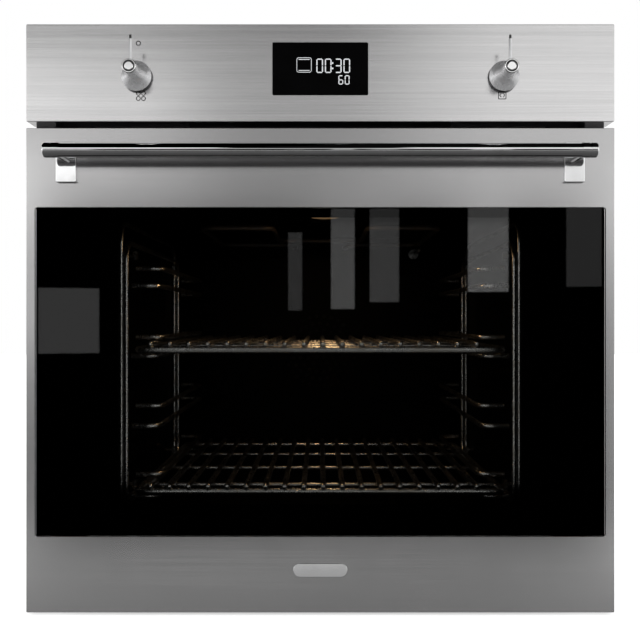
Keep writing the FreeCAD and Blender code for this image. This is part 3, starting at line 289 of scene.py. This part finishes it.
def galvanised(name, shade=0.56):
    """Zinc-coated sheet with a faint spangle."""
    s = Shader(name)
    s.set(Metallic=1.0)
    flakes = s.cells((90.0, 90.0, 90.0))
    split = s.nodes.new("ShaderNodeSeparateColor")
    s.link(flakes.outputs["Color"], split.inputs["Color"])
    cloud = s.noise((9.0, 9.0, 9.0), detail=5.0, roughness=0.6)
    flake_tone = s.ramp(split.outputs["Red"], 0.0, 1.0, -0.045, 0.045)
    level = s.math("ADD", s.math("ADD", flake_tone, s.ramp(cloud, 0.3, 0.7, -0.05, 0.05)), shade)
    tint = s.nodes.new("ShaderNodeCombineColor")
    for channel, gain in zip(("Red", "Green", "Blue"), (0.985, 1.0, 1.015)):
        s.link(s.math("MULTIPLY", level, gain), tint.inputs[channel])
    s.feed("Base Color", tint.outputs["Color"])
    s.feed("Roughness", s.math("ADD", s.ramp(split.outputs["Green"], 0.0, 1.0, 0.0, 0.14), 0.36))
    s.bump(cloud, 0.0006, 0.12)
    return s.material


def painted(name, colour, roughness=0.42, grain=900.0, depth=0.00003):
    """Sprayed or moulded surface with a fine orange-peel grain and slight shade changes."""
    s = Shader(name)
    fine = s.noise((grain, grain, grain), detail=2.0)
    cloud = s.noise((12.0, 12.0, 12.0), detail=4.0)
    s.feed("Base Color", s.mix(s.ramp(cloud, 0.3, 0.75), colour, tuple(c * 0.86 for c in colour)))
    s.feed("Roughness", s.math("ADD", s.ramp(cloud, 0.3, 0.7, -0.03, 0.05), roughness))
    s.bump(fine, depth, 0.5)
    return s.material


def dark_glass(name):
    """Grey-tinted pane; the tint, with the painted shade of the near-black cavity enamel, is what keeps the
    cavity dim.
    """
    s = Shader(name)
    s.set(Transmission_Weight=1.0, IOR=1.45, Roughness=0.0)
    film = s.noise((6.0, 6.0, 6.0), detail=4.0, roughness=0.6)
    s.feed("Base Color", s.mix(s.ramp(film, 0.35, 0.7), (0.6, 0.6, 0.595), (0.57, 0.57, 0.57)))
    return s.material


def clear_glass(name):
    """Clear pane with a faint film."""
    s = Shader(name)
    s.set(Transmission_Weight=1.0, IOR=1.3, Roughness=0.0)
    film = s.noise((5.0, 5.0, 5.0), detail=4.0)
    s.feed("Base Color", s.mix(s.ramp(film, 0.3, 0.7), (0.97, 0.98, 0.975), (0.93, 0.94, 0.93)))
    return s.material


def black_gloss(name, roughness=0.04, ior=1.12):
    """Black print or smoked panel with a slight film."""
    s = Shader(name)
    s.set(IOR=ior)
    film = s.noise((30.0, 30.0, 30.0), detail=4.0)
    s.feed("Base Color", s.mix(s.ramp(film, 0.35, 0.7), (0.0003, 0.0003, 0.0003), (0.0007, 0.0007, 0.0008)))
    s.feed("Roughness", s.ramp(film, 0.3, 0.8, roughness, roughness + 0.05))
    return s.material


def glowing(name, colour, strength):
    """A dark surface that gives off light of one colour."""
    s = Shader(name)
    grain = s.noise((400.0, 400.0, 400.0), detail=1.0)
    s.set(Emission_Strength=strength, Roughness=0.4)
    dimmed = tuple(c * 0.9 for c in colour)
    s.feed("Emission Color", s.mix(s.ramp(grain, 0.3, 0.7), colour, dimmed))
    s.feed("Base Color", s.mix(s.ramp(grain, 0.3, 0.7), (0.03, 0.03, 0.03), (0.02, 0.02, 0.02)))
    return s.material


def heater(name):
    """Oxidised heating tube, darker and browner in patches; on the fan impeller the same dark colour is
    painted shade.
    """
    s = Shader(name)
    s.set(Metallic=0.7)
    patch = s.noise((40.0, 40.0, 40.0), detail=5.0)
    s.feed("Base Color", s.mix(s.ramp(patch, 0.35, 0.7), (0.075, 0.07, 0.068), (0.12, 0.09, 0.07)))
    s.feed("Roughness", s.ramp(patch, 0.3, 0.8, 0.42, 0.66))
    s.bump(s.noise((700.0, 700.0, 700.0)), 0.00003, 0.6)
    return s.material


def wool(name):
    """Mineral wool with a fibrous surface."""
    s = Shader(name)
    fibre = s.noise((250.0, 40.0, 250.0), detail=6.0, roughness=0.75, distortion=1.2)
    s.set(Roughness=0.95)
    s.feed("Base Color", s.mix(s.ramp(fibre, 0.3, 0.7), (0.42, 0.36, 0.22), (0.62, 0.56, 0.4)))
    s.bump(fibre, 0.002, 0.8)
    return s.material


STEEL_FASCIA = brushed_steel("fascia_steel", 0.80, 0.08, 0.17, (6.0, 1600.0, 1600.0), 0.000004)
STEEL_DOOR = brushed_steel("door_steel", 0.60, 0.01, 0.17, (5.0, 700.0, 700.0), 0.000003)
CHROME = chrome("polished_chrome", 0.93)
HANDLE_CHROME = chrome("handle_chrome", 0.9, 0.04)
LEVER_CHROME = tipped_chrome("lever_chrome", LEVER_TOP_Z - LEVER_CAP)
KNOB_CHROME = knob_chrome("knob_chrome", KNOB_TIP_Y)
SHELF_WIRE = shelf_wire("shelf_wire")
# The cavity and fan cover enamel is far darker than real enamel, with almost no gloss: painted shade for the
# dim cavity.
CAVITY_SHADE_ENAMEL = enamel("cavity_enamel_painted_shade", (0.0016, 0.0016, 0.0018), 0.015, 0.45, 0.0, 0.06)
FRAME_ENAMEL = enamel("frame_enamel", (0.05, 0.05, 0.052))
ZINC = galvanised("galvanised_sheet")
SCREW_ZINC = galvanised("screw_zinc", 0.66)
GREY_PAINT = painted("grey_steel_paint", (0.09, 0.09, 0.093))
GREY_PLASTIC = painted("grey_plastic", (0.06, 0.06, 0.063), 0.5, 1400.0, 0.00005)
BOARD = painted("board_green", (0.02, 0.13, 0.06), 0.35)
CABLE = painted("cable_sleeve", (0.02, 0.02, 0.02), 0.45)
CERAMIC = painted("lamp_ceramic", (0.78, 0.76, 0.7), 0.35)
RUBBER = painted("seal_rubber", (0.028, 0.028, 0.03), 0.6, 1100.0, 0.00006)
DOOR_GLASS = dark_glass("tinted_glass")
CLEAR_GLASS = clear_glass("clear_glass")
BLACK_GLASS = black_gloss("display_black")
BLACK_PRINT = black_gloss("glass_print", 0.3, 1.01)
HEATER_OXIDE_AND_SHADE = heater("heater_tube")
WOOL = wool("mineral_wool")
ALUMINIUM = brushed_steel("aluminium_sheet", 0.72, 0.03, 0.36, (700.0, 1.5, 700.0))
LAMP_GLOW = glowing("lamp_glow", (1.0, 0.6, 0.3), 0.25)
READOUT = glowing("display_readout", (0.95, 0.97, 1.0), 0.78)
MARK_INK = painted("mark_ink", (0.004, 0.004, 0.004), 0.6)

NODE_MATERIALS = {
    "fascia_panel": STEEL_FASCIA, "door_skin": STEEL_DOOR, "door_outer_glass": DOOR_GLASS,
    "door_middle_glass": CLEAR_GLASS, "door_inner_glass": CLEAR_GLASS, "display_glass": BLACK_GLASS,
    "handle_bar": HANDLE_CHROME, "handle_end_caps": HANDLE_CHROME, "handle_brackets": CHROME,
    "door_badge": CHROME, "knob_bezels": CHROME, "left_knob": KNOB_CHROME, "right_knob": KNOB_CHROME,
    "left_lever": LEVER_CHROME, "right_lever": LEVER_CHROME,
    "left_spindle": SCREW_ZINC, "right_spindle": SCREW_ZINC,
    "cavity": CAVITY_SHADE_ENAMEL, "fan_cover": CAVITY_SHADE_ENAMEL, "front_frame": FRAME_ENAMEL,
    "ladder_left": SHELF_WIRE, "ladder_right": SHELF_WIRE, "ladder_nuts": SHELF_WIRE,
    "upper_shelf": SHELF_WIRE, "lower_shelf": SHELF_WIRE, "temperature_probe": SHELF_WIRE,
    "grill_element": HEATER_OXIDE_AND_SHADE, "bottom_element": HEATER_OXIDE_AND_SHADE, "ring_element": HEATER_OXIDE_AND_SHADE,
    "lamp_lens": LAMP_GLOW, "lamp_bulb": LAMP_GLOW, "lamp_holder": CERAMIC, "door_seal": RUBBER,
    "insulation": WOOL, "base_pan": ZINC, "left_side_panel": ZINC, "right_side_panel": ZINC,
    "back_panel": ZINC, "top_panel": ZINC, "control_bracket": ZINC, "blower_housing": ZINC,
    "blower_motor": ZINC, "fan_motor": ZINC, "hinge_arms": ZINC, "hinge_leaves": ZINC,
    "hinge_pins": SCREW_ZINC, "hinge_rods": SCREW_ZINC, "hinge_springs": SCREW_ZINC,
    "casing_screws": SCREW_ZINC, "terminal_box": GREY_PLASTIC, "encoders": GREY_PLASTIC,
    # The fan impeller takes the dark heater material in place of its own brighter aluminised sheet: painted
    # shade.
    "display_board": BOARD, "power_board": BOARD, "wiring_loom": CABLE, "fan_impeller": HEATER_OXIDE_AND_SHADE,
    "blower_rotor": ALUMINIUM, "air_duct": ALUMINIUM, "door_columns": GREY_PAINT,
    "door_top_rail": GREY_PAINT, "door_bottom_rail": GREY_PAINT,
}


def dress_nodes():
    """Gives every CAD node its material."""
    for name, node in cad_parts.items():
        for slot in node.material_slots:
            slot.material = NODE_MATERIALS[name]


# ---- flat pieces --------------------------------------------------------------------------------


def flat_piece(name, outlines, y, depth, material, body):
    """A thin plate facing -Y whose front is at y, from closed (x, z) outlines; inner ones are holes."""
    curve = bpy.data.curves.new(name, "CURVE")
    curve.dimensions = "2D"
    curve.fill_mode = "BOTH"
    curve.extrude = depth / 2
    for outline in outlines:
        spline = curve.splines.new("POLY")
        spline.points.add(len(outline) - 1)
        for point, (x, z) in zip(spline.points, outline):
            point.co = (x, z, 0.0, 1.0)
        spline.use_cyclic_u = True
    holder = bpy.data.objects.new(name + "_outline", curve)
    mesh = bpy.data.meshes.new_from_object(holder)
    mesh.name = name
    bpy.data.objects.remove(holder)
    mesh.transform(Matrix.Translation((0, y + depth / 2, 0)) @ Matrix.Rotation(math.pi / 2, 4, "X"))
    mesh.materials.clear()
    mesh.materials.append(material)
    piece = bpy.data.objects.new(name, mesh)
    bpy.context.scene.collection.objects.link(piece)
    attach(piece, body)


def circle(x, z, radius, count=28):
    """A round outline."""
    angles = [2 * math.pi * i / count for i in range(count)]
    return [(x + radius * math.cos(a), z + radius * math.sin(a)) for a in angles]


def rounded_rectangle(x, z, width, height, radius, count=6):
    """An outline about (x, z) with count steps in each round corner."""
    points = []
    for quarter, (sx, sz) in enumerate(((1, 1), (-1, 1), (-1, -1), (1, -1))):
        centre_x = x + sx * (width / 2 - radius)
        centre_z = z + sz * (height / 2 - radius)
        for i in range(count + 1):
            angle = math.pi / 2 * (quarter + i / count)
            points.append((centre_x + radius * math.cos(angle), centre_z + radius * math.sin(angle)))
    return points


def line(start, end, width):
    """A straight stroke as a rectangle outline."""
    run = Vector(end) - Vector(start)
    side = Vector((-run.y, run.x)).normalized() * width / 2
    corners = (Vector(start) + side, Vector(start) - side, Vector(end) - side, Vector(end) + side)
    return [tuple(c) for c in corners]


def ring(x, z, radius, width):
    """The two outlines of a ring, whose width lies inside the radius."""
    return [circle(x, z, radius), circle(x, z, radius - width)]


# ---- display ------------------------------------------------------------------------------------

# Places are measured from the middle of the display glass, and the colon's heights from the clock's bottom.
CLOCK_DIGIT = {"width": 5.6 * MM, "height": 13.4 * MM, "stroke": 1.15 * MM, "pitch": 8.6 * MM}
TIMER_DIGIT = {"width": 3.9 * MM, "height": 8.4 * MM, "stroke": 1.0 * MM, "pitch": 6.4 * MM}
CLOCK_BOTTOM = -3.6 * MM
HOURS_LEFT = -3.4 * MM
MINUTES_LEFT = 15.4 * MM
COLON_MIDDLE = 12.4 * MM
COLON_HEIGHTS = (4.0 * MM, 9.4 * MM)
COLON_DOT = 1.7 * MM
COLON_CORNER = 0.4 * MM
TIMER_LEFT = 18.8 * MM
TIMER_BOTTOM = -15.4 * MM
SYMBOL_MIDDLE = (-16.4 * MM, 3.9 * MM)
SYMBOL_FRAMES = ((15.2 * MM, 2.2 * MM), (14.1 * MM, 1.7 * MM))
SYMBOL_BAR_REACH = 5.6 * MM
SYMBOL_BAR_WIDTH = 0.7 * MM
SEGMENTS = {"0": "abcdef", "3": "abcdg", "6": "acdefg"}


def segment(kind, x, z, width, height, stroke):
    """One bar of a seven-segment digit whose lower left corner is at (x, z)."""
    half = height / 2
    gap = stroke * 0.62
    spans = {
        "a": ((0, height), (width, height)), "b": ((width, height), (width, half)),
        "c": ((width, half), (width, 0)), "d": ((0, 0), (width, 0)), "e": ((0, half), (0, 0)),
        "f": ((0, height), (0, half)), "g": ((0, half), (width, half)),
    }
    start, end = (Vector(p) for p in spans[kind])
    run = (end - start).normalized()
    side = Vector((-run.y, run.x)) * stroke / 2
    start = start + run * gap
    end = end - run * gap
    tip = run * stroke / 2
    points = (start - tip, start + side, end + side, end + tip, end - side, start - side)
    return [(x + p.x, z + p.y) for p in points]


def digits(text, x, z, width, height, pitch, stroke):
    """Outlines of a row of digits whose first lower left corner is at (x, z)."""
    outlines = []
    for index, letter in enumerate(text):
        for kind in SEGMENTS[letter]:
            outlines.append(segment(kind, x + index * pitch, z, width, height, stroke))
    return outlines


def display():
    """Clock, minutes and the top-and-bottom heat symbol, as thin lit plates on the glass."""
    x = (DISPLAY_LOW[0] + DISPLAY_HIGH[0]) / 2
    z = (DISPLAY_LOW[2] + DISPLAY_HIGH[2]) / 2
    clock_low = z + CLOCK_BOTTOM
    outlines = digits("00", x + HOURS_LEFT, clock_low, **CLOCK_DIGIT)
    outlines += digits("30", x + MINUTES_LEFT, clock_low, **CLOCK_DIGIT)
    for height in COLON_HEIGHTS:
        place = (x + COLON_MIDDLE, clock_low + height)
        outlines.append(rounded_rectangle(*place, COLON_DOT, COLON_DOT, COLON_CORNER, 3))
    outlines += digits("60", x + TIMER_LEFT, z + TIMER_BOTTOM, **TIMER_DIGIT)
    front = FASCIA_LOW[1] - READOUT_DEPTH
    flat_piece("display_readout", outlines, front, READOUT_DEPTH, READOUT, "root")
    icon_x = x + SYMBOL_MIDDLE[0]
    icon_z = z + SYMBOL_MIDDLE[1]
    icon = [rounded_rectangle(icon_x, icon_z, size, size, corner) for size, corner in SYMBOL_FRAMES]
    for side in (-1, 1):
        bar_z = icon_z + side * SYMBOL_BAR_REACH
        ends = [(icon_x + end * SYMBOL_BAR_REACH, bar_z) for end in (-1, 1)]
        icon.append(line(*ends, SYMBOL_BAR_WIDTH))
    flat_piece("display_symbol", icon, front, READOUT_DEPTH, READOUT, "root")


# ---- printed marks ------------------------------------------------------------------------------

# Places are measured from the middle of the knob beside the mark.
UPPER_RING_PLACE = (1.0 * MM, 34.4 * MM)
UPPER_RING = {"radius": 2.6 * MM, "width": 0.9 * MM}
LOWER_RINGS_PLACE = (1.0 * MM, -16.3 * MM)
LOWER_RING = {"radius": 2.4 * MM, "width": 0.85 * MM}
LOWER_RING_PITCH = 5.2 * MM
BOX_PLACE = (-1.0 * MM, -18.2 * MM)
BOX_FRAMES = ((8.3 * MM, 1.2 * MM), (6.7 * MM, 0.6 * MM))
ARROW_TIP = 2.6 * MM
ARROW_TAIL = (0.9 * MM, 2.0 * MM)
ARROW_WIDTH = 0.8 * MM


def print_mark(name, outlines):
    """Ink on the face of the fascia."""
    flat_piece(name, outlines, FRONT_Y - INK_DEPTH, INK_DEPTH, MARK_INK, "root")


def fascia_marks():
    """Rings above and below the left knob, and a boxed pair of arrow heads below the right one."""
    left = middle("left_knob")
    right = middle("right_knob")
    upper_place = (left[0] + UPPER_RING_PLACE[0], left[2] + UPPER_RING_PLACE[1])
    print_mark("left_upper_mark", ring(*upper_place, **UPPER_RING))
    lower = []
    for column in (0, 1):
        for row in (0, 1):
            x = left[0] + LOWER_RINGS_PLACE[0] + LOWER_RING_PITCH * column
            z = left[2] + LOWER_RINGS_PLACE[1] - LOWER_RING_PITCH * row
            lower += ring(x, z, **LOWER_RING)
    print_mark("left_lower_marks", lower)
    x = right[0] + BOX_PLACE[0]
    z = right[2] + BOX_PLACE[1]
    box = [rounded_rectangle(x, z, size, size, corner) for size, corner in BOX_FRAMES]
    for side in (-1, 1):
        tip = (x + side * ARROW_TIP, z)
        for up in (-1, 1):
            tail = (x + side * ARROW_TAIL[0], z + up * ARROW_TAIL[1])
            box.append(line(tip, tail, ARROW_WIDTH))
    print_mark("right_lower_mark", box)


# ---- door glass print ---------------------------------------------------------------------------

CLEAR_HALF = 0.205
CLEAR_BOTTOM = 0.112
PRINT_CORNER = 1.5 * MM
CLEAR_CORNER = 3.0 * MM


def glass_print():
    """Black border just inside the back of the outer pane, around the clear zone."""
    width = GLASS_HIGH[0] - GLASS_LOW[0] - 2 * PRINT_MARGIN
    height = GLASS_HIGH[2] - GLASS_LOW[2] - 2 * PRINT_MARGIN
    z = (GLASS_LOW[2] + GLASS_HIGH[2]) / 2
    clear_top = GLASS_HIGH[2] - PRINT_ABOVE_CLEAR
    clear_z = (CLEAR_BOTTOM + clear_top) / 2
    outlines = [rounded_rectangle(0, z, width, height, PRINT_CORNER),
                rounded_rectangle(0, clear_z, 2 * CLEAR_HALF, clear_top - CLEAR_BOTTOM, CLEAR_CORNER)]
    front = GLASS_HIGH[1] - PRINT_INSET
    flat_piece("glass_print", outlines, front, PRINT_DEPTH, BLACK_PRINT, "door")


# ---- studio -------------------------------------------------------------------------------------


class Sky(Graph):
    """World nodes that paint soft light panels by direction."""

    def __init__(self):
        world = bpy.data.worlds.new("studio")
        bpy.context.scene.world = world
        world.use_nodes = True
        super().__init__(world.node_tree)
        self.nodes.clear()
        split = self.nodes.new("ShaderNodeSeparateXYZ")
        direction = self.nodes.new("ShaderNodeTexCoord").outputs["Generated"]
        self.link(direction, split.inputs["Vector"])
        self.x, self.y, self.z = split.outputs
        ahead = self.math("MULTIPLY", self.y, -1.0)
        self.azimuth = self.math("ARCTAN2", self.x, ahead)
        self.elevation = self.math("ARCSINE", self.z, 0.0)

    def profile(self, source, stops):
        """A level that runs smoothly through (angle in degrees, level) stops."""
        result = self.math("ADD", stops[0][1], 0.0)
        for (start, low), (end, high) in zip(stops, stops[1:]):
            rise = self.ramp(source, math.radians(start), math.radians(end), 0.0, high - low)
            result = self.math("ADD", result, rise)
        return result

    def panel(self, azimuth, elevation, softness, level):
        """A rectangle of light; angles in degrees, azimuth 0 straight in front of the door, + to +X."""
        edges = []
        for source, (low, high) in ((self.azimuth, azimuth), (self.elevation, elevation)):
            low, high, soft = (math.radians(v) for v in (low, high, softness))
            edges.append(self.ramp(source, low - soft, low + soft))
            edges.append(self.ramp(source, high - soft, high + soft, 1.0, 0.0))
        shape = edges[0]
        for edge in edges[1:]:
            shape = self.math("MULTIPLY", shape, edge)
        return self.math("MULTIPLY", shape, level)

    def total(self, parts):
        """The sum of several levels."""
        result = parts[0]
        for part in parts[1:]:
            result = self.math("ADD", result, part)
        return result


WALL_WHITE = 1.0
DIFFUSE_LEVEL = 0.95

# Reflection levels against elevation in degrees, listed for everywhere, then what is added to each side.
CENTRE = [(-90, 0.05), (-60, 0.07), (-42, 0.1), (-32, 0.05), (-25, 0.12), (-20, 0.29), (-17.5, 0.33),
          (-15.7, 0.95), (-13.5, 0.3), (6, 0.4), (8.2, 0.66), (9.8, 0.52), (11, 0.4), (13, 0.36), (15, 0.46),
          (17, 0.42), (20.5, 0.3), (24, 0.003)]
LEFT = [(7, 0.0), (8.4, 0.26), (10.4, 0.72), (11.8, 0.5), (13.1, -0.1), (14.6, 0.82), (16.3, 0.62),
        (18.4, 0.02), (20, -0.03)]
RIGHT = [(6, 0.0), (9, 0.24), (11, 0.38), (13, 0.42), (20.5, 0.5), (24, 0.0)]
FAR_LEFT = [(-18, 0.0), (-13, 0.16), (-6, 0.28), (-1, 0.42), (8, 1.15), (11, 0.1), (14, 0.0)]
FAR_RIGHT = [(-18, 0.0), (-13, 0.24), (-6, 0.4), (0, 0.5), (8, 0.72), (12, 0.05), (14, 0.0)]
STRIPS = [((-80, -8), (25, 32), 1.0, 1.3), ((7, 80), (25, 32), 1.0, 1.3)]
# Plain pale patches in the dark room, where the glass mirrors windows and a lit doorway.
ROOM_PANELS = [
    ((-2.3, -1.3), (0.7, 6.3), 0.08, 0.3),
    ((0.8, 2.5), (0.8, 8), 0.08, 0.7),
    ((3.6, 5.7), (1.3, 8), 0.08, 0.45),
    ((10.6, 13.4), (2.0, 8), 0.08, 1.0),
    ((17.3, 19.6), (2.3, 8), 0.08, 0.5),
    ((-19.6, -15.6), (-2.3, 2.2), 0.08, 0.9),
]
# The dark room itself; its edges are sharp, so other views can mirror them in the glass.
ROOM = ((-20.0, 20.0), (-15.6, 8.2), 0.2)


def studio_world():
    """White backdrop, even fill for matt surfaces, and a dim room with soft panels for reflections."""
    sky = Sky()

    def beside(start, end, stops):
        """A profile that comes in between two azimuths."""
        side = sky.ramp(sky.azimuth, math.radians(start), math.radians(end))
        return sky.math("MULTIPLY", side, sky.profile(sky.elevation, stops))

    lit = [sky.profile(sky.elevation, CENTRE), beside(-6.0, -13.0, LEFT), beside(1.0, 13.0, RIGHT),
           beside(-19.7, -20.5, FAR_LEFT), beside(19.7, 20.5, FAR_RIGHT)]
    room = sky.math("SUBTRACT", 1.0, sky.panel(*ROOM, 1.0))
    parts = [sky.math("MULTIPLY", sky.total(lit), room)]
    parts += [sky.panel(*panel) for panel in STRIPS + ROOM_PANELS]
    reflected = sky.total(parts)
    ray = sky.nodes.new("ShaderNodeLightPath")
    level = sky.nodes.new("ShaderNodeMix")
    sky.link(ray.outputs["Is Diffuse Ray"], level.inputs["Factor"])
    sky.link(reflected, level.inputs["A"])
    level.inputs["B"].default_value = DIFFUSE_LEVEL
    shown = sky.nodes.new("ShaderNodeMix")
    sky.link(ray.outputs["Is Camera Ray"], shown.inputs["Factor"])
    sky.link(level.outputs["Result"], shown.inputs["A"])
    shown.inputs["B"].default_value = WALL_WHITE
    background = sky.nodes.new("ShaderNodeBackground")
    background.inputs["Color"].default_value = (1.0, 1.0, 1.0, 1.0)
    sky.link(shown.outputs["Result"], background.inputs["Strength"])
    output = sky.nodes.new("ShaderNodeOutputWorld")
    sky.link(background.outputs["Background"], output.inputs["Surface"])


def studio_floor():
    """Plain pale floor just under the base; it glows faintly, and gloss and glass don't show it."""
    mesh = bpy.data.meshes.new("floor")
    level = CAD_BOX[0][2] - FLOOR_GAP
    signs = ((-1, -1), (1, -1), (1, 1), (-1, 1))
    corners = [(x * FLOOR_HALF, y * FLOOR_HALF, level) for x, y in signs]
    mesh.from_pydata(corners, [], [(0, 1, 2, 3)])
    floor = bpy.data.objects.new("floor", mesh)
    bpy.context.scene.collection.objects.link(floor)
    s = Shader("floor_pale")
    s.set(Roughness=0.9, Specular_IOR_Level=0.0, Emission_Color=(1.0, 1.0, 1.0, 1.0), Emission_Strength=0.6)
    grain = s.noise((2.0, 2.0, 2.0), detail=3.0)
    s.feed("Base Color", s.mix(grain, (0.96, 0.96, 0.96), (0.95, 0.95, 0.95)))
    mesh.materials.append(s.material)
    floor.visible_glossy = False
    floor.visible_transmission = False


def hidden_light(name, size, energy, colour, place, turn):
    """A rectangular light that the camera doesn't see, turned about X."""
    light = bpy.data.lights.new(name, "AREA")
    light.shape = "RECTANGLE"
    light.size, light.size_y = size
    light.energy = energy
    light.color = colour
    lamp = bpy.data.objects.new(name, light)
    lamp.location = place
    lamp.rotation_euler = (turn, 0.0, 0.0)
    lamp.visible_camera = False
    lamp.visible_transmission = False
    bpy.context.scene.collection.objects.link(lamp)


OVEN_LAMP = {"size": (0.03, 0.03), "energy": 0.22, "colour": (1.0, 0.62, 0.3)}
ROOM_LIGHT = {"size": (0.4, 0.3), "energy": 0.055, "colour": (1.0, 1.0, 1.0)}


def cavity_lights():
    """The weak warm lamp under the ceiling, and one behind the inner glass that stands for the room."""
    x, _, z = middle("cavity")
    lamp_x, lamp_y, _ = middle("lamp_lens")
    lamp_place = (lamp_x, lamp_y, LENS_BOTTOM_Z - LIGHT_GAP)
    hidden_light("oven_lamp", place=lamp_place, turn=0.0, **OVEN_LAMP)
    room_place = (x, INNER_GLASS_BACK_Y + LIGHT_GAP, z)
    hidden_light("room_light", place=room_place, turn=math.pi / 2, **ROOM_LIGHT)


CAMERA_DISTANCE = 0.8
LENS_MM = 44.5
SENSOR_MM = 36.0
EYE_SIDE = 0.3 * MM
EYE_DROP = 1.6 * MM


def camera():
    """Straight in front of the door, level with the middle of the front."""
    data = bpy.data.cameras.new("camera")
    data.lens = LENS_MM
    data.sensor_width = SENSOR_MM
    data.clip_start = 0.01
    eye = bpy.data.objects.new("camera", data)
    eye.location = (-EYE_SIDE, FRONT_Y - CAMERA_DISTANCE, FRONT_MIDDLE_Z - EYE_DROP)
    eye.rotation_euler = (math.pi / 2, 0.0, 0.0)
    bpy.context.scene.collection.objects.link(eye)
    bpy.context.scene.camera = eye


# ---- build --------------------------------------------------------------------------------------

bpy.context.scene.view_settings.view_transform = "Standard"
camera()
studio_world()
studio_floor()
dress_nodes()
display()
fascia_marks()
glass_print()
cavity_lights()
